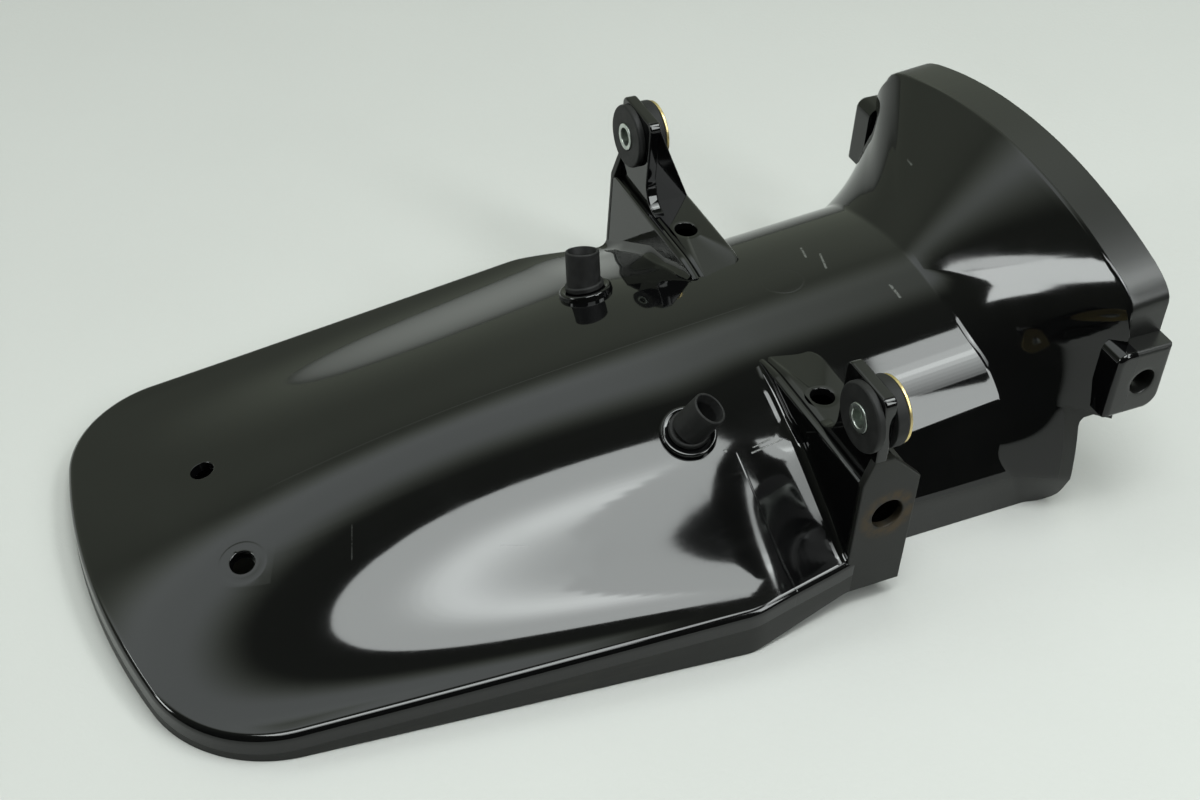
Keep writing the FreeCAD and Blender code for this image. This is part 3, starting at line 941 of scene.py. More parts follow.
@dataclass
class Body:
    """Arch over the wheel, flared tail and rim, as columns that run from the rib to the tail end."""

    # Columns, counted from the middle of the top down the side.
    TOP_COLUMNS: ClassVar[int] = 16
    RIDGE_COLUMNS: ClassVar[int] = 14
    UPPER_COLUMNS: ClassVar[int] = 4
    MIDDLE_COLUMNS: ClassVar[int] = 13
    LOWER_COLUMNS: ClassVar[int] = 21
    # Rows, counted from the rib to the tail end.
    ARCH_ROWS: ClassVar[int] = 33
    BEND_ROWS: ClassVar[int] = 6
    FLARE_ROWS: ClassVar[int] = 13
    UNDER_ROWS: ClassVar[int] = 5
    RIM_ROWS: ClassVar[int] = 4
    TAIL_ROWS: ClassVar[int] = 8

    rule: CrownRule
    arch_half: float = 73.0
    arch_round: float = 48.0
    flare_from: float = LENGTH - 50.0
    flare_sink: float = 0.8
    flare_inset: float = 3.5
    flare_core: float = 8.0
    flare_band: float = 13.0
    flare_top: float = 61.0
    crease_round: float = 1.5
    crease_ease: float = 0.2
    rim_from: float = LENGTH - 15.5
    rim_half: float = 77.3
    rim_top: float = 103.0
    rim_rise: float = 1.5
    rim_side_share: float = 0.6
    rim_step: float = 0.9
    rim_hollow: float = 0.8
    rim_radius: float = 204.0
    rim_side: float = 88.0
    arch_end: float = LENGTH - 24.0
    notch: float = 42.0
    rim_skirt: float = 69.6
    heel_round: float = 6.0
    ridge_soft: float = 32.0
    ridge_drop: float = 15.0
    join: float = 34.0
    ridge_out: float = 3.2
    belly: float = 2.4
    belly_from: float = 36.0
    belly_fade: float = 30.0
    foot_swell: float = 2.6
    foot_fade: float = 14.0
    band_from: float = 17.9
    band_fall: float = 0.043

    def slope(self) -> float:
        """Rise of the arch's ridge per millimetre."""
        ends = self.rule.lift(np.array([(RIB_BACK, 0.0), (self.arch_end, 0.0)]))
        return float((ends[1, 2] - ends[0, 2]) / (self.arch_end - RIB_BACK))

    def section(self, inset_by: float) -> tuple[np.ndarray, np.ndarray, float]:
        """Cross-section of the arch at the rib.

        Args:
            inset_by: Distance inside the outer surface.

        Returns:
            Distances across, heights, and the distance across at which the shoulder starts.
        """
        half = self.arch_half - inset_by
        turn = self.arch_round - inset_by
        y = np.linspace(0.0, half, 600)
        z = self.rule.lift(np.column_stack([np.full_like(y, RIB_BACK), y]))[:, 2] - inset_by
        lean = np.gradient(z, y)
        normal = -lean / np.sqrt(1 + lean ** 2)
        reach = float(np.interp(0.0, y - turn * normal - (half - turn), y))
        top = float(np.interp(reach, y, z))
        n = float(np.interp(reach, y, normal))
        hub = top - turn * math.sqrt(1 - n * n)
        start = math.acos(n)
        shoulder = arc((half - turn, hub), turn, start, 0.0, 400)
        crown = np.column_stack([y, z])[y < reach]
        across, height = np.concatenate([crown, shoulder]).T
        return across, height, reach

    def frames(self, inset_by: float) -> tuple[np.ndarray, np.ndarray, np.ndarray]:
        """Matching points of three sections: the flare's first one, the one under the rim and the rim.

        Args:
            inset_by: Distance inside the outer surface.

        Returns:
            The three sections, from the middle of the top to the foot of the side.
        """
        half = self.arch_half - self.flare_inset - inset_by
        crest = float(self.rule.lift(np.array([(self.flare_from, 0.0)]))[0, 2])
        top = crest - self.flare_sink - inset_by
        last = math.acos(self.flare_core / half)
        turn = np.linspace(0.0, last, 300)
        rise = self.flare_band + (top - self.flare_band) * np.sin(turn) / math.sin(last)
        flank = np.concatenate([[(half, 0.0)], np.column_stack([half * np.cos(turn), rise])])
        run = np.concatenate([[0.0], np.cumsum(np.linalg.norm(np.diff(flank, axis=0), axis=1))])
        run /= run[-1]
        rim = self.rim_half - inset_by
        radius = self.rim_radius - inset_by
        high = self.rim_top - self.rim_rise - inset_by

        def side(share: np.ndarray) -> tuple[np.ndarray, np.ndarray]:
            """Points of the flare's first section and of the rim, up the side.

            Args:
                share: Shares of the way from the foot to the corner.

            Returns:
                Points of both sections.
            """
            first = np.column_stack([np.interp(share, run, line) for line in flank.T])
            corner = high - radius + math.sqrt(radius ** 2 - rim ** 2)
            return first, np.column_stack([np.full_like(share, rim), share * corner])

        def crown(share: np.ndarray) -> tuple[np.ndarray, np.ndarray]:
            """Points of the flare's first section and of the rim, along the top.

            Args:
                share: Shares of the way from the middle to the corner.

            Returns:
                Points of both sections.
            """
            across = rim * share
            first = np.column_stack([self.flare_core * share, np.full_like(share, top)])
            return first, np.column_stack([across, high - radius + np.sqrt(radius ** 2 - across ** 2)])

        soft_top = self.ridge_soft / rim
        soft_side = self.ridge_drop / self.rim_side
        skirt, notch = self.rim_skirt / self.rim_side, self.notch / self.rim_side
        tops = crown(np.linspace(0.0, 1 - soft_top, self.TOP_COLUMNS))
        upper = np.linspace(1 - soft_side, skirt, self.UPPER_COLUMNS)
        middle = np.linspace(skirt, notch, self.MIDDLE_COLUMNS + 1)[1:]
        lower = np.linspace(notch, 0.0, self.LOWER_COLUMNS + 1)[1:]
        sides = side(np.concatenate([upper, middle, lower]))

        # The rim turns its corner in a short arc.
        x = np.linspace(0, 1, self.RIDGE_COLUMNS + 2)[1:-1]
        core_from, core = 0.33, 0.34
        before = crown(1 - soft_top * (1 - np.minimum(2 * x, 1)))
        after = side(1 - soft_side * np.maximum(2 * x - 1, 0))
        start = np.where(x[:, None] < 0.5, before[0], after[0])
        sharp = np.where(x[:, None] < 0.5, before[1], after[1])
        near = ((x > core_from) & (x < core_from + core))[:, None]
        on_top = crown(np.array([1 - soft_top * core]))[1][0]
        on_side = side(np.array([1 - soft_side * core]))[1][0]
        edge = crown(np.array([1.0]))[1][0]
        sharp = np.where(near, bow(on_top, edge, on_side, ((x - core_from) / core)[:, None]), sharp)

        # The section under it turns in a wide soft ridge and swells out at the sides.
        touch, foot = tops[1][-1], sides[1][0] + np.array([self.ridge_out, 0.0])
        fall = touch[0] / math.sqrt(radius ** 2 - touch[0] ** 2)
        corner = np.array([foot[0], touch[1] - (foot[0] - touch[0]) * fall])
        ridge = bow(touch, corner, foot, x[:, None])
        lower_side = sides[1].copy()
        height = lower_side[:, 1]
        bulge = 1 - np.clip((height - self.belly_from) / self.belly_fade, 0, 1) ** 2
        swell = self.ridge_out + self.belly * bulge
        swell = swell + self.foot_swell * np.clip(1 - height / self.notch, 0, 1)
        lower_side[:, 0] += swell * np.clip(height / self.foot_fade, 0, 1)
        first = np.concatenate([tops[0], start, sides[0]])
        second = np.concatenate([tops[1], ridge, lower_side])
        return first, second, np.concatenate([tops[1], sharp, sides[1]])

    def groups(self) -> tuple[int, int]:
        """Column numbers at the rim's skirt and at the notch."""
        rim = self.TOP_COLUMNS + self.RIDGE_COLUMNS + self.UPPER_COLUMNS - 1
        return rim, rim + self.MIDDLE_COLUMNS

    def rear_edge(self, height: np.ndarray) -> np.ndarray:
        """Station of the rear edge below the notch, with a rounded heel and a rounded inner corner.

        Args:
            height: Heights above the floor.

        Returns:
            Stations.
        """
        r = self.heel_round
        heel = np.sqrt(np.maximum(r * r - np.clip(r - height, 0, r) ** 2, 0)) - r
        corner = r - np.sqrt(np.maximum(r * r - np.clip(height - self.notch + r, 0, r) ** 2, 0))
        return self.arch_end + heel + corner

    def columns(self, inset_by: float) -> dict[str, np.ndarray]:
        """Key points of every column.

        Args:
            inset_by: Distance inside the outer surface.

        Returns:
            Points at the rib, at the crease, at the flare's first section, at the notch, under the rim,
            at the rim's edge and at the tail end, and the crown's column starts.
        """
        ys, zs, reach = self.section(inset_by)
        slope = self.slope()
        half = self.arch_half - inset_by
        first, second, third = self.frames(inset_by)
        lean = math.atan2(self.rim_top - self.rim_rise - self.flare_top, self.rim_from - self.flare_from)
        shift = inset_by * math.tan(lean / 2)
        start = np.column_stack([np.full(len(first), self.flare_from + shift), first])
        under = np.column_stack([np.full(len(second), self.rim_from + shift), second])
        knee = float(np.interp(-self.join, -zs, ys))

        def side(points: np.ndarray) -> tuple[np.ndarray, np.ndarray, np.ndarray]:
            """Lower side of the arch.

            Args:
                points: Points whose stations and heights count.

            Returns:
                Top of the band, height of the knee above it, and the side's distance across.
            """
            band = self.band_from - self.band_fall * (points[:, 0] - RIB_BACK)
            rise = self.join + slope * (points[:, 0] - RIB_BACK) - band
            share = np.clip((points[:, 2] - band) / rise, 0, 1)
            return band, rise, half + (knee - half) * share

        def outside(points: np.ndarray) -> np.ndarray:
            """Find the points outside the arch.

            Args:
                points: Points to test.

            Returns:
                Mask of those outside.
            """
            base = points[:, 2] - slope * (points[:, 0] - RIB_BACK)
            above = base > np.interp(points[:, 1], ys, zs)
            return np.where(base > self.join, above, points[:, 1] > side(points)[2])

        # Each column of the flare is followed forwards until it meets the arch.
        low, high = np.zeros(len(start)), np.ones(len(start))
        for _ in range(40):
            mid = (low + high) / 2
            out = outside(start + (under - start) * mid[:, None])
            high = np.where(out, mid, high)
            low = np.where(out, low, mid)
        cross = start + (under - start) * high[:, None]

        # From there it runs along the arch to the rib.
        front = cross.copy()
        front[:, 0] = RIB_BACK
        front[:, 2] = cross[:, 2] - slope * (cross[:, 0] - RIB_BACK)
        low = front[:, 2] < self.join
        band, rise, _ = side(cross)
        at_rib = np.array([[RIB_BACK, 0.0, 0.0]])
        base_band, base_rise, _ = (float(v[0]) for v in side(at_rib))
        raised = base_band + (cross[:, 2] - band) / rise * base_rise
        front[low, 2] = np.where(cross[:, 2] > band, raised, cross[:, 2] * base_band / band)[low]
        front[low, 1] = side(front)[2][low]
        crown = front[:, 1] < reach - 1.0
        last = int(np.argmin(crown)) - 1
        brim = np.column_stack([np.full(len(third), self.rim_from + shift + self.rim_step), third])
        end = np.column_stack([np.full(len(third), LENGTH), third])
        on_top = np.arange(len(end)) < self.TOP_COLUMNS + self.RIDGE_COLUMNS
        end[:, 2] += np.where(on_top, self.rim_rise, self.rim_rise * self.rim_side_share)
        front[: last + 1, 2] = self.rule.lift(front[: last + 1, :2], inset_by)[:, 2]
        share = (self.arch_end - start[:, 0]) / (under[:, 0] - start[:, 0])
        notch = start + (under - start) * share[:, None]
        return {"front": front, "cross": cross, "start": start, "notch": notch, "under": under,
                "brim": brim, "end": end, "crown": front[: last + 1, 1]}

    @staticmethod
    def soften(before: np.ndarray, at: np.ndarray, after: np.ndarray, size: float,
               count: int) -> list[np.ndarray]:
        """Rounded corner between two straight runs.

        Args:
            before: Points on the run that arrives.
            at: Corner points.
            after: Points on the run that leaves.
            size: How far from the corner the rounding reaches.
            count: Number of rows.

        Returns:
            Rows of points.
        """
        def toward(goal: np.ndarray) -> np.ndarray:
            """Points at the rounding's reach.

            Args:
                goal: Points towards which it is measured.

            Returns:
                Points between the corner and the goal.
            """
            run = goal - at
            far = np.linalg.norm(run, axis=1)[:, None]
            return at + run / far * np.minimum(size, 0.45 * far)

        first, last = toward(before), toward(after)
        return [bow(first, at, last, x) for x in np.linspace(0, 1, count)]

    def paths(self, inset_by: float) -> tuple[np.ndarray, np.ndarray, np.ndarray, dict[str, np.ndarray]]:
        """Rows of the three groups of columns.

        Args:
            inset_by: Distance inside the outer surface.

        Returns:
            Grids of the rimmed columns, of those that end under the rim and of those that end at the notch,
            and the key points.
        """
        def between(first: np.ndarray, last: np.ndarray, count: int) -> list[np.ndarray]:
            """Rows that run straight from one row to another, both included."""
            return [first + (last - first) * w for w in np.linspace(0, 1, count + 1)]

        key = self.columns(inset_by)
        front, start, notch, under = (key[name] for name in ("front", "start", "notch", "under"))
        brim, end = key["brim"], key["end"]
        crease = self.crease_round + self.crease_ease * inset_by
        bend = self.soften(front, key["cross"], notch, crease, self.BEND_ROWS)
        arch = between(front, bend[0], self.ARCH_ROWS)[:-1]
        common = arch + bend + between(bend[-1], notch, self.FLARE_ROWS)[1:]

        # Columns of the top, the ridge and the upper side go on over the rim to the tail end.
        rim = self.soften(notch, under, brim, self.rim_hollow, self.RIM_ROWS)
        rim += self.soften(under, brim, end, self.rim_step, self.RIM_ROWS)
        rest = between(notch, rim[0], self.UNDER_ROWS)[1:-1]
        last = between(rim[-1], end, self.TAIL_ROWS)[1:]
        at_skirt, at_notch = self.groups()
        full = np.stack(common + rest + rim + last)[:, : at_skirt + 1]

        # Columns of the side end under the rim, and the lowest ones at the rear edge.
        side = np.stack(common + between(notch, under, self.UNDER_ROWS)[1:])[:, at_skirt: at_notch + 1]
        reach = np.maximum(self.rear_edge(notch[:, 2]), bend[-1][:, 0] + 0.2)
        share = (reach - start[:, 0]) / (under[:, 0] - start[:, 0])
        stop = start + (under - start) * share[:, None]
        low = np.stack(arch + bend + between(bend[-1], stop, self.FLARE_ROWS)[1:])[:, at_notch:]
        return full, side, low, key

    def build(self, skin: Skin) -> tuple[np.ndarray, np.ndarray]:
        """Add the arch, the flare and the rim to the moulding.

        Args:
            skin: Mesh that is being gathered.

        Returns:
            Column starts of the outer and inner surfaces across the crown.
        """
        outer = self.paths(0.0)
        inner = self.paths(WALL)
        for out, ins in zip(outer[:3], inner[:3]):
            ins = ins.copy()
            ins[-1, :, 0] = out[-1, :, 0]
            skin.grid(out, Face.GLOSS)
            skin.grid(ins, Face.SATIN, flip=True)
            skin.grid(np.stack([out[-1], ins[-1]]), Face.SATIN)
        skin.grid(np.stack([outer[2][:, -1], inner[2][:, -1]]), Face.SATIN, flip=True)
        for group, rows in ((0, 2 * self.RIM_ROWS + self.TAIL_ROWS), (1, self.UNDER_ROWS + 1)):
            lines = [wall[group][-rows:, -1] for wall in (outer, inner)]
            skin.grid(np.stack(lines), Face.SATIN, flip=True)
        return outer[3]["crown"], inner[3]["crown"]

    def height(self, station: float, across: np.ndarray, inset_by: float) -> np.ndarray:
        """Height of the arch's surface.

        Args:
            station: Distance from the tip.
            across: Distances from the centre plane.
            inset_by: Distance inside the outer surface.

        Returns:
            Heights.
        """
        ys, zs, _ = self.section(inset_by)
        return np.interp(across, ys, zs) + self.slope() * (station - RIB_BACK)


@dataclass
class Bracket:
    """Rib, platform, upright ear and outer ear plate of one side."""

    body: Body
    rib_inner: float = 24.0
    rib_outer: float = 71.9
    rib_foot: float = 7.0
    rib_edge: float = 1.25
    platform_end: float = RIB_BACK + 18.8
    platform_inner: float = 22.0
    platform_outer: float = 71.6
    platform_round: float = 9.0
    platform_edge: float = 2.0
    pad_hole: Spot = (RIB_BACK + 7.3, 49.9, 4.1)
    ear_top: float = 88.0
    ear_corner: float = 3.0
    ear_edge: float = 0.7
    eye_radius: float = 7.3
    ear_inner: float = 69.4
    ear_foot: float = 9.0
    web_thick: float = 2.2
    plate_thick: float = 3.0
    plate_top: float = 63.8
    plate_rear_top: float = 52.5
    plate_bend: float = RIB_BACK + 7.3
    plate_hole: Spot = (RIB_BACK + 8.8, 39.1, 5.65)
    plate_edge: float = 0.5
    closing_inner: float = 69.0
    closing_thick: float = 2.0
    bead_round: float = 3.2
    merge: float = 36.0
    merge_width: float = 12.0
    merge_sink: float = 1.7

    def top(self, across: np.ndarray) -> np.ndarray:
        """Height of the bracket's top, which sinks into the crown at its inner end."""
        share = np.clip((self.merge - np.asarray(across)) / self.merge_width, 0, 1)
        return RIB_TOP - self.merge_sink * share ** 1.5

    @staticmethod
    def _across(points: np.ndarray, station: float) -> np.ndarray:
        """Stand a plate up across the part, with its face at a station."""
        return points[:, [2, 0, 1]] + np.array([station, 0, 0])

    @staticmethod
    def _along(points: np.ndarray, outer: float) -> np.ndarray:
        """Stand a plate up along the part, with its face at a distance across."""
        return np.column_stack([points[:, 0], outer - points[:, 2], points[:, 1]])

    def rib(self, skin: Skin) -> None:
        """Transverse wall at the end of the tongue.

        Args:
            skin: Mesh that is being gathered.
        """
        across = np.linspace(self.rib_inner, self.rib_outer, 24)
        floor = self.body.height(RIB_BACK, across, 1.6)
        crest = np.linspace(self.merge, self.rib_inner, 8)
        outer = PLATE_HALF - 0.4
        loop = np.concatenate([
            np.column_stack([across, floor]),
            [(self.rib_outer, self.rib_foot), (outer, self.rib_foot), (outer, RIB_TOP)],
            np.column_stack([crest, self.top(crest)])])
        points, faces = Plate(loop, RIB_BACK - RIB_AT + 0.3, self.rib_edge).build()
        skin.add(self._across(points, RIB_AT), faces, Face.GLOSS)

    def bead(self, skin: Skin) -> None:
        """Hollow bead where the flank runs up into the rib.

        Args:
            skin: Mesh that is being gathered.
        """
        across = np.linspace(self.rib_inner + 2.0, PLATE_HALF - 0.5, 60)
        foot = self.body.rule.lift(np.column_stack([np.full_like(across, RIB_AT), across]))[:, 2]
        size = np.clip(RIB_TOP - 1.0 - foot, 0.2, self.bead_round)
        rows = []
        for turn in np.linspace(0, math.pi / 2, 9):
            station = RIB_AT - size + (size + 0.02) * math.sin(turn)
            line = self.body.rule.lift(np.column_stack([station, across]))
            line[:, 2] += 0.01 + size * (1 - math.cos(turn))
            rows.append(line)
        skin.grid(np.stack(rows), Face.GLOSS)

    def ear(self, skin: Skin) -> None:
        """Upright ear and the web behind its inner edge.

        Args:
            skin: Mesh that is being gathered.
        """
        low = RIB_TOP - WALL
        inner, foot = self.ear_inner, self.ear_foot
        curl = [(inner - foot + foot * math.sin(t), RIB_TOP + foot * 1.1 * (1 - math.cos(t)))
                for t in np.linspace(0, math.pi / 2, 10)]
        rim = PLATE_HALF - 0.08
        shoulder = self.ear_top - 9
        crown = rounded([(inner, shoulder, 0.0), (rim, shoulder, 0.0),
                         (rim, self.ear_top, self.ear_corner), (inner, self.ear_top, self.ear_corner)])
        loop = [(inner - foot, low), (rim, low)] + [tuple(p) for p in crown[2:]] + curl[::-1]
        eye = (EYE_HALF, EYE_HEIGHT, self.eye_radius)
        points, faces = Plate(np.array(loop), EAR_THICK, self.ear_edge, [eye]).build()
        skin.add(self._across(points, RIB_BACK), faces, Face.GLOSS)
        back = RIB_BACK + EAR_THICK
        end = self.platform_end - 1.0
        high = self.ear_top - 3.0
        web = np.array([(back - 1.5, low), (end, low), (end, RIB_TOP), (back, high), (back - 1.5, high)])
        points, faces = Plate(web, self.web_thick, 0.5).build()
        skin.add(self._along(points, inner + self.web_thick), faces, Face.GLOSS)

    def plate(self, skin: Skin) -> None:
        """Outer plate with the large side hole, and the wall that closes its rear.

        Args:
            skin: Mesh that is being gathered.
        """
        loop = np.array([(RIB_AT, SKIRT_RISE), (self.platform_end, SKIRT_RISE),
                         (self.platform_end, self.plate_rear_top), (self.plate_bend, self.plate_top),
                         (RIB_BACK, self.plate_top), (RIB_AT, RIB_TOP)])
        points, faces = Plate(loop, self.plate_thick, self.plate_edge, [self.plate_hole]).build()
        skin.add(self._along(points, PLATE_HALF), faces, Face.SATIN)
        inner, outer = self.closing_inner, PLATE_HALF - 1.5
        low, high = SKIRT_RISE + 0.5, self.plate_rear_top - 1.0
        wall = np.array([(inner, low), (outer, low), (outer, high), (inner, high)])
        points, faces = Plate(wall, self.closing_thick, 0.4).build()
        skin.add(self._across(points, self.platform_end - 2.6), faces, Face.SATIN)

    def platform(self, skin: Skin) -> None:
        """Raised platform beside the arch, hollow underneath, with its hole.

        Args:
            skin: Mesh that is being gathered.
        """
        front = RIB_BACK + 0.2
        outer = rounded([(front, self.platform_outer, 0.0), (front, self.platform_inner, 0.0),
                         (self.platform_end, self.platform_inner, self.platform_round),
                         (self.platform_end, self.platform_outer, 0.0)], 3.0)
        inner = inset(outer, WALL)
        hole = np.array(self.pad_hole[:2])
        angle = np.arctan2(outer[:, 1] - hole[1], outer[:, 0] - hole[0])
        ring = np.column_stack([np.cos(angle), np.sin(angle)])

        def level(plan: np.ndarray, height: Union[float, np.ndarray]) -> np.ndarray:
            """Plan points at a height below or above the bracket's top."""
            return np.column_stack([plan, height - RIB_TOP + self.top(plan[:, 1])])

        def seat(plan: np.ndarray) -> np.ndarray:
            """Plan points inside the arch's wall.

            Args:
                plan: Stations and distances across.

            Returns:
                Points in the middle of the wall, below the platform's top.
            """
            ys, zs, _ = self.body.section(WALL / 2)
            rise = self.body.slope() * (plan[:, 0] - RIB_BACK)
            height = np.interp(plan[:, 1], ys, zs) + rise
            return np.column_stack([plan, np.minimum(height, RIB_TOP - 2.4)])

        edge = self.platform_edge
        rows = [seat(outer), level(outer, RIB_TOP - edge)]
        for phi in np.linspace(0, math.pi / 2, 5)[1:]:
            line = inset(outer, edge * (1 - math.cos(phi)))
            rows.append(level(line, RIB_TOP - edge + edge * math.sin(phi)))
        radius = self.pad_hole[2]
        for r, z in ((radius + 2.0, 0.0), (radius + 0.3, 0.0), (radius, -0.3), (radius, -WALL)):
            rows.append(level(hole + ring * r, RIB_TOP + z))
        rows += [level(inner, RIB_TOP - WALL), seat(inner), seat(outer)]
        skin.grid(np.array(rows), Face.GLOSS, loop=True, flip=True)

    def build(self, skin: Skin) -> None:
        """Add the bracket to the moulding.

        Args:
            skin: Mesh that is being gathered.
        """
        self.rib(skin)
        self.bead(skin)
        self.platform(skin)
        self.ear(skin)
        self.plate(skin)


@dataclass
class TailTab:
    """Side tab at the tail: a plate held off the wall by a ledge and a front wall."""

    start: float = LENGTH - 21.5
    half: float = 85.3
    low: float = 44.5
    high: float = 71.0
    corner: float = 6.0
    front_corner: float = 4.0
    edge: float = 1.9
    hole: Spot = (LENGTH - 9.4, 57.7, 4.8)
    inside: float = 75.0
    sleeve: float = -9.0
    sleeve_wall: float = 1.6

    def build(self, skin: Skin) -> None:
        """Add the tab to the moulding.

        Args:
            skin: Mesh that is being gathered.
        """
        outer = rounded([(self.start, self.low, 0.0), (LENGTH, self.low, self.corner),
                         (LENGTH, self.high, 0.0), (self.start, self.high, self.front_corner)], 2.5)
        inner = outer.copy()
        inner[:, 0] = np.maximum(inner[:, 0], self.start + WALL)
        inner[:, 1] = np.minimum(inner[:, 1], self.high - WALL)
        walled = (outer[:, 0] < self.start + 2) | (outer[:, 1] > self.high - 2)
        foot = np.where(walled, self.inside, self.half - WALL)
        hole = np.array(self.hole[:2])
        angle = np.arctan2(outer[:, 1] - hole[1], outer[:, 0] - hole[0])
        ring = np.column_stack([np.cos(angle), np.sin(angle)])

        def level(plan: np.ndarray, across: Union[float, np.ndarray]) -> np.ndarray:
            """Side-view points at a distance across."""
            return np.column_stack([plan[:, 0], np.broadcast_to(across, len(plan)), plan[:, 1]])

        edge = self.edge
        rows = [level(outer, foot), level(outer, self.half - edge)]
        for phi in np.linspace(0, math.pi / 2, 6)[1:]:
            line = inset(outer, edge * (1 - math.cos(phi)))
            rows.append(level(line, self.half - edge + edge * math.sin(phi)))
        bore = self.hole[2]
        sleeve = bore + self.sleeve_wall
        for radius, depth in ((bore + 1.8, 0.0), (bore + 0.4, 0.0), (bore, -0.4), (bore, self.sleeve),
                              (sleeve, self.sleeve), (sleeve, -WALL)):
            rows.append(level(hole + ring * radius, self.half + depth))
        rows += [level(inner, self.half - WALL), level(inner, foot), level(outer, foot)]
        skin.grid(np.array(rows), Face.GLOSS, loop=True, flip=True)


@dataclass
class Turned:
    """A piece turned about an axis, made by a geometry tree."""

    shape: NodeShape = field(init=False)

    def __post_init__(self) -> None:
        """Write the turning as a geometry tree."""
        self.shape = NodeShape("turned_piece")
        take = self.shape.take
        tree = self.shape.tree
        around = take("Steps Around", "NodeSocketInt")
        along = take("Profile Points", "NodeSocketInt")
        index = tree.node("GeometryNodeInputIndex")
        turn = (index / along).whole()
        rank = index - turn * along
        spot = tree.node("GeometryNodeInputPosition")
        profile = tree.node("GeometryNodeSampleIndex", {"data_type": "FLOAT_VECTOR", "domain": "POINT"},
                            {"Geometry": self.shape.geometry(), "Value": spot, "Index": rank})
        radius, _, height = tree.axes(profile)
        angle = turn * (2 * math.pi) / around
        place = tree.node("ShaderNodeCombineXYZ", None,
                          {0: radius * angle.cosine(), 1: radius * angle.sine(), 2: height})
        counts = {"Vertices X": around + 1, "Vertices Y": along, "Size X": 1.0, "Size Y": 1.0}
        sheet = tree.node("GeometryNodeMeshGrid", None, counts, "Mesh")
        bent = tree.node("GeometryNodeSetPosition", None, {"Geometry": sheet, "Position": place})
        joined = tree.node("GeometryNodeMergeByDistance", None, {"Geometry": bent, "Distance": 0.0005})
        stood = tree.node("GeometryNodeTransform", None,
                          {"Geometry": joined, "Translation": take("Centre", "NodeSocketVector"),
                           "Rotation": take("Lean", "NodeSocketVector")})
        self.shape.close(stood, take("Finish", "NodeSocketMaterial"))

    def make(self, profile: Sequence[tuple[float, float]], centre: Sequence[float], axis: Sequence[float],
             around: int = 64) -> tuple[np.ndarray, Faces]:
        """Turn a closed profile.

        Args:
            profile: Radius and height pairs, counter-clockwise.
            centre: Where the profile's zero stands.
            axis: Direction of the axis.
            around: Steps around.

        Returns:
            Vertices and faces.
        """
        line = np.array([(r, 0.0, h) for r, h in list(profile) + [profile[0]]])
        lean = Vector((0, 0, 1)).rotation_difference(Vector(axis)).to_euler()
        sizes = {"Steps Around": around, "Profile Points": len(line),
                 "Centre": tuple(float(c) for c in centre), "Lean": tuple(lean)}
        return self.shape.run(line, sizes)


def soft_profile(corners: Sequence[Spot]) -> list[tuple[float, float]]:
    """Profile with rounded corners, from the radius, height and rounding of each."""
    return [(float(a), float(b)) for a, b in rounded(corners)]


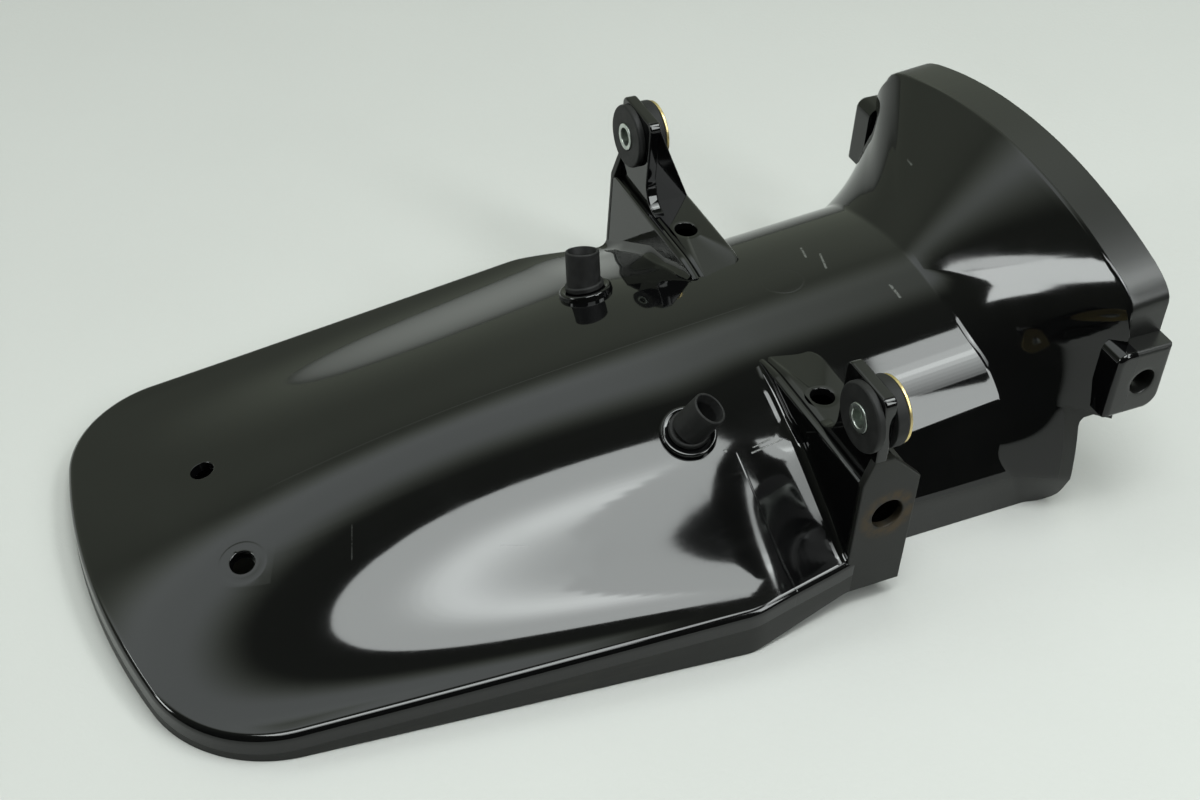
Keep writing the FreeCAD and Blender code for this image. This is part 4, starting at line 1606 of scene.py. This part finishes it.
@dataclass
class Fittings:
    """Bosses, rubber stops, grommets and steel collars."""

    # Radius at which a closed end stops short of its axis.
    AXIS: ClassVar[float] = 0.05

    rule: CrownRule
    turned: Turned
    grommet_radius: float = 11.7
    grommet_neck: float = 7.2
    grommet_front: float = 2.6
    grommet_rear: float = 4.4
    collar_radius: float = 5.0
    collar_bore: float = 3.3
    collar_proud: float = 0.4
    flange_radius: float = 11.3
    flange_thick: float = 1.1
    boss_at: float = 190.7
    boss_half: float = 40.5
    boss_radius: float = 9.4
    boss_height: float = 2.0
    boss_seat: float = 8.0
    boss_bore: float = 4.4
    boss_root: float = -2.0
    stop_radius: float = 6.1
    stop_foot: float = 7.0
    stop_bore: float = 4.4
    stop_mouth: float = 5.2
    stop_height: float = 11.5
    stop_depth: float = 9.5
    stop_floor: float = 2.0
    stop_root: float = 1.2
    stem_radius: float = 4.2
    bulb_radius: float = 5.8
    bulb_length: float = 4.0
    lean: dict[Side, float] = field(default_factory=lambda: {Side.LEFT: 9.0, Side.RIGHT: 30.0})

    def boss(self, skin: Skin) -> None:
        """Raised round boss on each flank.

        Args:
            skin: Mesh that is being gathered.
        """
        point, normal = self.rule.seat(self.boss_at, self.boss_half)
        wide, bore, top = self.boss_radius, self.boss_bore, self.boss_height
        sunk = top - 0.35
        profile = soft_profile([
            (bore, self.boss_root, 0), (wide + 0.6, self.boss_root, 0), (wide, top, 0.9),
            (self.boss_seat, top, 0.0), (self.boss_seat - 0.6, sunk, 0.0), (bore, sunk, 0.0)])
        points, faces = self.turned.make(profile, point, normal)
        skin.add(points, faces, Face.GLOSS)

    def eye(self, side: Side) -> np.ndarray:
        """Centre of the ear's eye on one side."""
        return np.array([RIB_BACK, side * EYE_HALF, EYE_HEIGHT])

    def grommet(self, side: Side) -> Skin:
        """Grooved rubber grommet.

        Args:
            side: Side of the part.

        Returns:
            Its mesh parts.
        """
        front, back = -self.grommet_front, EAR_THICK + self.grommet_rear
        wide, neck, bore = self.grommet_radius, self.grommet_neck, self.collar_radius + 0.1
        profile = soft_profile([
            (bore, front, 0.4), (bore + 1.6, front, 0), (wide, front, 0.9), (wide, 0, 0.3), (neck, 0, 0),
            (neck, EAR_THICK, 0), (wide, EAR_THICK, 0.3), (wide, back, 0.9), (bore, back, 0.3)])
        skin = Skin()
        skin.add(*self.turned.make(profile, self.eye(side), (1, 0, 0)), both=False)
        return skin

    def collar(self, side: Side) -> Skin:
        """Flanged steel collar.

        Args:
            side: Side of the part.

        Returns:
            Its mesh parts, with the flange in the second finish.
        """
        front = -self.grommet_front - self.collar_proud
        seat = EAR_THICK + self.grommet_rear
        back = seat + self.flange_thick
        bore, tube, flange = self.collar_bore, self.collar_radius, self.flange_radius
        profile = soft_profile([
            (bore, front, 0.35), (tube, front, 0.3), (tube, seat, 0), (flange, seat, 0.3),
            (flange, back, 0.35), (bore, back, 0.3)])
        points, faces = self.turned.make(profile, self.eye(side), (1, 0, 0))
        marks = [int(points[list(f), 0].mean() > RIB_BACK + seat - 0.2) for f in faces]
        skin = Skin()
        skin.add(points, faces, marks, both=False)
        return skin

    def stop(self, side: Side) -> Skin:
        """Hollow rubber stop that leans back on its boss.

        Args:
            side: Side of the part.

        Returns:
            Its mesh parts.
        """
        point, normal = self.rule.seat(self.boss_at, self.boss_half)
        point = point * np.array([1, side, 1])
        normal = normal * np.array([1, side, 1])
        seat = point + normal * self.boss_height
        under = -self.boss_height - WALL - 0.1
        low = under - self.bulb_length
        stem = soft_profile([
            (self.AXIS, low, 0), (self.stem_radius, low, 0.8), (self.bulb_radius, under, 0.3),
            (self.stem_radius, under, 0), (self.stem_radius, 0, 0), (self.stop_foot, 0, 0.3),
            (self.stop_foot, self.stop_floor, 0.7), (self.AXIS, self.stop_floor, 0)])
        back = np.array([1.0, 0, 0]) - normal * normal[0]
        back /= np.linalg.norm(back)
        tilt = math.radians(self.lean[side])
        axis = normal * math.cos(tilt) + back * math.sin(tilt)
        foot = seat + normal * self.stop_floor - axis * self.stop_floor
        height = self.stop_height + self.stop_floor
        hollow = height - self.stop_depth
        cup = soft_profile([
            (self.AXIS, self.stop_root, 0), (self.stop_radius, self.stop_root, 0),
            (self.stop_radius, height, 0.5), (self.stop_mouth, height, 0.35),
            (self.stop_bore, height - 3.0, 1.5), (self.stop_bore, hollow, 0.4), (self.AXIS, hollow, 0)])
        skin = Skin()
        skin.add(*self.turned.make(stem, seat, normal), both=False)
        skin.add(*self.turned.make(cup, foot, axis), both=False)
        return skin


def to_stations(tree: Tree, place: Value) -> tuple[Value, Value, Value]:
    """Turn object coordinates into station, across and height in millimetres.

    Args:
        tree: The material's tree.
        place: Object coordinates.

    Returns:
        The three numbers.
    """
    per_metre = 1000.0
    along, across, up = tree.axes(place)
    return along * per_metre + LENGTH / 2, across * per_metre, up * per_metre


@dataclass(frozen=True)
class GlossPlastic:
    """Polished black plastic with its matte edges, mould lines and handling marks."""

    name: str = "gloss_black_plastic"
    colour: Colour = (0.0022, 0.0022, 0.0024)
    smudged: Colour = (0.005, 0.005, 0.005)
    matte: Colour = (0.0105, 0.0108, 0.0098)
    worn: Colour = (0.16, 0.165, 0.155)
    band_from: float = 27.66
    band_fall: float = 0.043
    rim_matte: float = 0.75
    cross_line_at: float = 203.5
    round_mark: Spot = (250.9, 6.8, 7.2)
    scratches: tuple[Mark, ...] = (
        ((267.1, 22.8, 56.5), (265.2, 16.1, 57.6), 0.55), ((270.4, 15.2, 58.2), (267.7, 6.4, 58.9), 0.55),
        ((283.2, -11.4, 59.8), (283.5, -17.6, 59.0), 0.7), ((314.6, 32.7, 77.2), (313.9, 28.9, 77.6), 0.6),
        ((208.3, -52.9, 40.6), (219.5, -52.2, 42.3), 0.4), ((209.5, -51.4, 41.3), (216.0, -50.6, 42.2), 0.3),
        ((199.8, -49.8, 41.5), (199.9, -49.9, 41.5), 0.6))
    hairs: tuple[Mark, ...] = (
        ((79.3, -27.3, 30.5), (75.4, -38.1, 26.5), 0.3), ((120.0, -52.0, 29.6), (139.0, -60.0, 29.0), 0.25),
        ((150.0, -70.0, 26.0), (163.0, -66.0, 29.5), 0.22))

    def matte_share(self, tree: Tree, place: Value) -> Value:
        """Mask of the matte band along the arch's foot, of the flare's rear edge and of the rim.

        Args:
            tree: The material's tree.
            place: Object coordinates.

        Returns:
            1 where the moulding is matte.
        """
        station, across, height = to_stations(tree, place)
        wide = across.size()
        above = height + station * self.band_fall - self.band_from
        band = above.step(0.3, -0.3) * station.step(229.0, 230.0) * wide.step(58.0, 60.0)
        edge = station.step(318.0, 318.8) * height.step(42.8, 42.2) * wide.step(50.0, 52.0)
        rim = station.step(331.8, 332.4) * self.rim_matte
        return band.high(edge).high(rim)

    def lines(self, tree: Tree, place: Value) -> Value:
        """Mask of the mould's lines: the parting line, the cross line on the flanks and the round mark.

        Args:
            tree: The material's tree.
            place: Object coordinates.

        Returns:
            1 on a line.
        """
        station, across, height = to_stations(tree, place)
        wide = across.size()
        parting = wide.step(0.3, 0.08) * station.step(48.0, 70.0) * station.step(236.0, 228.0)
        cross = (station - self.cross_line_at).size().step(0.45, 0.12) * wide.step(50.0, 56.0)
        mark_at, mark_across, mark_radius = self.round_mark
        reach = ((station - mark_at) ** 2.0 + (across - mark_across) ** 2.0).root()
        ring = (reach - mark_radius).size().step(0.55, 0.15) * height.step(50.0, 51.0)
        return (parting * 0.175).high(cross * 0.5).high(ring)

    def wear(self, tree: Tree, place: Value) -> Value:
        """Mask of the scratches and the fainter hairs.

        Args:
            tree: The material's tree.
            place: Object coordinates.

        Returns:
            1 in the middle of a scratch.
        """
        marks = None
        for lot, strength in ((self.scratches, 1.0), (self.hairs, 0.25)):
            for start, end, width in lot:
                mark = tree.stroke(place, to_row(np.array(start)), to_row(np.array(end)), width * MM)
                mark = mark * strength
                marks = mark if marks is None else marks.high(mark)
        return marks * tree.noise(place, 1400.0, 2.0, 0.6).step(0.3, 0.55)

    def make(self) -> bpy.types.Material:
        """Build the material.

        Returns:
            The material.
        """
        material, tree, place = open_material(self.name)
        matte = self.matte_share(tree, place)
        lines = self.lines(tree, place)
        smudge = tree.noise(place, 26.0, 4.0, 0.6).step(0.45, 0.75)
        fine = tree.noise(place, 900.0, 2.0, 0.5)
        streak = tree.noise(place, 60.0, 3.0, 0.6, (1.0, 14.0, 6.0)).step(0.62, 0.75)
        worn = self.wear(tree, place)
        colour = tree.blend(smudge * 0.35, (*self.colour, 1), (*self.smudged, 1))
        colour = tree.blend(matte, colour, (*self.matte, 1))
        colour = tree.blend(worn * 0.55, colour, (*self.worn, 1))
        rough = 0.05 + smudge * 0.05 + streak * 0.03 + (fine - 0.5) * 0.02
        rough = rough + matte * 0.36 + worn * 0.3 + lines * 0.12
        wave = tree.noise(place, 38.0, 2.0, 0.4) + lines * -3.0 + matte * (fine - 0.5) * 1.2 - worn * 0.5
        bump = tree.node("ShaderNodeBump", None, {"Strength": 0.06, "Distance": 0.0004, "Height": wave})
        close_material(tree, {"Base Color": colour, "Roughness": rough, "Normal": bump, "IOR": 1.5})
        return material


@dataclass(frozen=True)
class SatinPlastic:
    """Unpolished black plastic of the skirts and the ear plates, with a rust stain on one plate."""

    name: str = "satin_black_plastic"
    colour: Colour = (0.0085, 0.0088, 0.0078)
    mottle: Colour = (0.0135, 0.0138, 0.0118)
    rubbed: Colour = (0.032, 0.031, 0.026)
    rust: Colour = (0.070, 0.046, 0.021)
    stain: Spot = (236.0, 39.1, 7.8)

    def stain_share(self, tree: Tree, place: Value) -> Value:
        """Mask of the rust stain round the hole of the right plate.

        Args:
            tree: The material's tree.
            place: Object coordinates.

        Returns:
            A value from 0 to 1.
        """
        station, across, height = to_stations(tree, place)
        stain_at, stain_height, stain_radius = self.stain
        reach = ((station - stain_at) ** 2.0 + (height - stain_height) ** 2.0).root()
        ring = (reach - stain_radius).size().step(3.4, 0.4)
        cloud = tree.noise(place, 260.0, 4.0, 0.65).step(0.3, 0.62)
        return ring * cloud * across.step(-88.0, -89.5)

    def make(self) -> bpy.types.Material:
        """Build the material.

        Returns:
            The material.
        """
        material, tree, place = open_material(self.name)
        cloud = tree.noise(place, 45.0, 4.0, 0.6)
        grain = tree.noise(place, 1500.0, 2.0, 0.5)
        rub = tree.noise(place, 90.0, 4.0, 0.7, (0.4, 1.0, 3.0)).step(0.55, 0.8)
        rust = self.stain_share(tree, place)
        colour = tree.blend(cloud.step(0.35, 0.7), (*self.colour, 1), (*self.mottle, 1))
        colour = tree.blend(rub * 0.4, colour, (*self.rubbed, 1))
        colour = tree.blend(rust * 0.8, colour, (*self.rust, 1))
        rough = 0.42 + (cloud - 0.5) * 0.2 + rust * 0.2
        bump = tree.node("ShaderNodeBump", None, {"Strength": 0.12, "Distance": 0.0002, "Height": grain})
        close_material(tree, {"Base Color": colour, "Roughness": rough, "Normal": bump, "IOR": 1.36})
        return material


@dataclass(frozen=True)
class Rubber:
    """Matte black rubber with dust."""

    name: str = "black_rubber"
    colour: Colour = (0.006, 0.006, 0.006)
    dusty: Colour = (0.022, 0.022, 0.022)

    def make(self) -> bpy.types.Material:
        """Build the material.

        Returns:
            The material.
        """
        material, tree, place = open_material(self.name)
        dust = tree.noise(place, 300.0, 4.0, 0.65).step(0.4, 0.8)
        grain = tree.noise(place, 2600.0, 2.0, 0.5)
        colour = tree.blend(dust * 0.6, (*self.colour, 1), (*self.dusty, 1))
        rough = 0.58 + dust * 0.15
        bump = tree.node("ShaderNodeBump", None, {"Strength": 0.2, "Distance": 0.0002, "Height": grain})
        close_material(tree, {"Base Color": colour, "Roughness": rough, "Normal": bump, "IOR": 1.42})
        return material


@dataclass(frozen=True)
class PlatedSteel:
    """Plated steel of the collars."""

    name: str
    bright: Colour
    dull: Colour

    def make(self) -> bpy.types.Material:
        """Build the material.

        Returns:
            The material.
        """
        material, tree, place = open_material(self.name)
        cloud = tree.noise(place, 420.0, 3.0, 0.6)
        brush = tree.noise(place, 1800.0, 2.0, 0.6, (0.1, 1.0, 1.0))
        colour = tree.blend(cloud.step(0.35, 0.65), (*self.bright, 1), (*self.dull, 1))
        rough = 0.3 + (brush - 0.5) * 0.2 + cloud * 0.1
        bump = tree.node("ShaderNodeBump", None, {"Strength": 0.15, "Distance": 0.0002, "Height": brush})
        close_material(tree, {"Base Color": colour, "Roughness": rough, "Normal": bump, "Metallic": 1.0})
        return material


def open_material(name: str) -> tuple[bpy.types.Material, Tree, Value]:
    """Start a material.

    Args:
        name: Its name.

    Returns:
        The material, its tree and the object coordinates.
    """
    material = bpy.data.materials.new(name)
    material.use_nodes = True
    tree = Tree(material.node_tree)
    return material, tree, tree.node("ShaderNodeTexCoord", None, None, "Object")


def close_material(tree: Tree, feeds: dict[str, Feed]) -> None:
    """End a material in one shader.

    Args:
        tree: The material's tree.
        feeds: Values or links of the shader's sockets.
    """
    shader = tree.node("ShaderNodeBsdfPrincipled", None, feeds)
    tree.node("ShaderNodeOutputMaterial", None, {"Surface": shader})


@dataclass(frozen=True)
class Lamp:
    """Soft rectangular lamp."""

    TINT: ClassVar[Colour] = (0.95, 1.0, 0.985)

    name: str
    place: Spot
    aim: Spot
    size: tuple[float, float]
    power: float
    spin: float = 0.0

    def hang(self) -> None:
        """Add the lamp to the scene."""
        data = bpy.data.lights.new(self.name, "AREA")
        data.shape = "RECTANGLE"
        data.size, data.size_y = self.size
        data.energy = self.power
        data.color = self.TINT
        obj = bpy.data.objects.new(self.name, data)
        bpy.context.scene.collection.objects.link(obj)
        run = Vector(self.aim) - Vector(self.place)
        turn = run.to_track_quat("-Z", "Y").to_matrix()
        turn = turn @ Matrix.Rotation(math.radians(self.spin), 3, "Z")
        obj.matrix_world = Matrix.Translation(self.place) @ turn.to_4x4()


@dataclass(frozen=True)
class SoftBox:
    """Overhead soft box: strips of light in one plane, with a bright core and a dim front."""

    name: str
    left: float
    right: float
    strips: int
    slanted: bool = False
    back: float = 0.05
    depth: float = 0.80
    height: float = 1.42
    glow: float = 7.6
    fade: float = 0.68
    core_glow: float = 5.5
    core_at: float = -0.235
    core_width: float = 0.075
    point: tuple[float, float] = (0.06, -0.32)
    point_from: float = -0.45
    slopes: tuple[float, float] = (1.109, -0.9)
    farthest: float = 0.36

    def end(self, middle: float) -> float:
        """Right end of a strip; a slanted box comes to a point that turns inwards.

        Args:
            middle: Distance across of the strip's middle.

        Returns:
            Where the strip ends along the part.
        """
        if not self.slanted or middle <= self.point_from:
            return self.right
        slope = self.slopes[0] if middle > self.point[1] else self.slopes[1]
        return min(self.point[0] + slope * (middle - self.point[1]), self.farthest)

    def hang(self) -> None:
        """Add the strips to the scene."""
        deep = self.depth / self.strips
        for number in range(self.strips):
            middle = self.back - (number + 0.5) * deep
            dim = 1.0 - self.fade * max(0.0, (number + 0.5) / self.strips - 0.5) * 2
            core = math.exp(-((middle - self.core_at) / self.core_width) ** 2)
            glow = self.glow * dim + self.core_glow * core
            end = self.end(middle)
            wide = end - self.left
            at = (self.left + end) / 2
            power = glow * math.pi * wide * deep
            strip = Lamp("%s_%d" % (self.name, number), (at, middle, self.height), (at, middle, 0.0),
                         (wide, deep), power)
            strip.hang()


@dataclass
class Studio:
    """Camera, pale floor and soft light."""

    camera_at: Spot = (-0.22515, -0.440, 0.4554)
    right: Spot = (0.9062, -0.4193, 0.0570)
    ahead: Spot = (0.3523, 0.6729, -0.6505)
    lens: float = 57.0
    floor_half: float = 4.0
    floor_dark: Colour = (0.505, 0.509, 0.492)
    floor_pale: Colour = (0.537, 0.541, 0.525)
    wall_tint: Colour = (0.90, 1.0, 0.80)
    panel_tint: Colour = (0.93, 1.0, 0.98)
    boxes: tuple[SoftBox, ...] = (
        SoftBox("main", -0.45, 0.20, 32, slanted=True), SoftBox("second", 0.58, 1.02, 10))
    lamps: tuple[Lamp, ...] = (
        Lamp("slanted_edge", (0.265, -0.228, 1.42), (0.265, -0.228, 0.0), (0.468, 0.18), 1.95, 42.0),
        Lamp("low_right", (0.578, -0.937, 0.996), (0.1, -0.05, 0.04), (0.34, 0.82), 7.2),
        Lamp("left_gap", (-1.193, 0.553, 0.754), (0.135, -0.025, 0.073), (0.365, 0.11), 1.2),
        Lamp("left_window", (-1.35, 0.25, 0.655), (0.13, -0.04, 0.08), (0.30, 0.31), 3.4))

    def camera(self) -> None:
        """Camera at the photograph's angle."""
        data = bpy.data.cameras.new("camera")
        data.sensor_fit = "HORIZONTAL"
        data.sensor_width = 36.0
        data.lens = self.lens
        data.clip_start = 0.01
        obj = bpy.data.objects.new("camera", data)
        bpy.context.scene.collection.objects.link(obj)
        back = -Vector(self.ahead).normalized()
        right = Vector(self.right)
        right = (right - back * right.dot(back)).normalized()
        up = back.cross(right)
        turn = Matrix((right, up, back)).transposed().to_4x4()
        obj.matrix_world = Matrix.Translation(self.camera_at) @ turn
        bpy.context.scene.camera = obj

    def floor(self) -> None:
        """Plain pale floor with a faint grain."""
        half = self.floor_half
        mesh = bpy.data.meshes.new("floor")
        corners = [(-half, -half, 0), (half, -half, 0), (half, half, 0), (-half, half, 0)]
        mesh.from_pydata(corners, [], [(0, 1, 2, 3)])
        obj = bpy.data.objects.new("floor", mesh)
        bpy.context.scene.collection.objects.link(obj)
        material, tree, place = open_material("pale_floor")
        grain = tree.noise(place, 420.0, 3.0, 0.6)
        cloud = tree.noise(place, 9.0, 3.0, 0.5)
        colour = tree.blend(cloud, (*self.floor_dark, 1), (*self.floor_pale, 1))
        bump = tree.node("ShaderNodeBump", None, {"Strength": 0.25, "Distance": 0.0006, "Height": grain})
        close_material(tree, {"Base Color": colour, "Roughness": 0.6, "Normal": bump})
        mesh.materials.append(material)

    def surroundings(self) -> None:
        """Dim surroundings that are lighter behind, with a pale panel there."""
        world = bpy.data.worlds.new("surroundings")
        bpy.context.scene.world = world
        world.use_nodes = True
        tree = Tree(world.node_tree)
        along, across, up = tree.axes(tree.node("ShaderNodeTexCoord", None, None, "Generated"))
        wall = 0.03 + across.step(-0.4, 0.35) * 0.10
        wall = wall + across.step(0.5, 0.75) * 0.34 - across.step(0.78, 1.0) * 0.15
        band = across.step(0.24, 0.44) * (1.0 - across.step(0.56, 0.70))
        fall = 1.0 - along.step(0.15, 0.45) * 0.6
        panel = band * fall * up.step(0.1, 0.4) * along.step(-0.76, -0.62)
        colour = tree.blend(panel, (*self.wall_tint, 1), (*self.panel_tint, 1))
        feeds = {"Color": colour, "Strength": wall + panel * 1.5}
        shader = tree.node("ShaderNodeBackground", None, feeds)
        tree.node("ShaderNodeOutputWorld", None, {"Surface": shader})

    def build(self) -> None:
        """Set up the camera, the floor and the light."""
        self.camera()
        self.floor()
        for light in self.boxes + self.lamps:
            light.hang()
        self.surroundings()
        bpy.context.scene.view_settings.view_transform = "Standard"


def main() -> None:
    """Build every piece in order."""
    logging.basicConfig(level=logging.INFO, format="%(message)s")
    Studio().build()
    rule = CrownRule()
    turned = Turned()
    gloss, satin = GlossPlastic().make(), SatinPlastic().make()
    rubber = Rubber().make()
    zinc = PlatedSteel("zinc_plate", (0.60, 0.64, 0.60), (0.42, 0.46, 0.43)).make()
    chromate = PlatedSteel("yellow_chromate", (0.78, 0.62, 0.25), (0.62, 0.50, 0.26)).make()
    fittings = Fittings(rule, turned)
    skin = Skin()
    body = Body(rule)
    crown, crown_inside = body.build(skin)
    Tongue(rule).build(skin, crown, crown_inside)
    Bracket(body).build(skin)
    TailTab().build(skin)
    fittings.boss(skin)
    finish_piece("fender_moulding", skin, (gloss, satin), "fender_shell")
    for side in Side:
        tag = side.name.lower()
        grommet, collar, stop = "grommet_" + tag, "collar_" + tag, "stop_" + tag
        finish_piece("rubber_" + grommet, fittings.grommet(side), (rubber,), grommet)
        finish_piece("steel_" + collar, fittings.collar(side), (zinc, chromate), collar)
        finish_piece("rubber_" + stop, fittings.stop(side), (rubber,), stop)


if __name__ == "__main__":
    main()
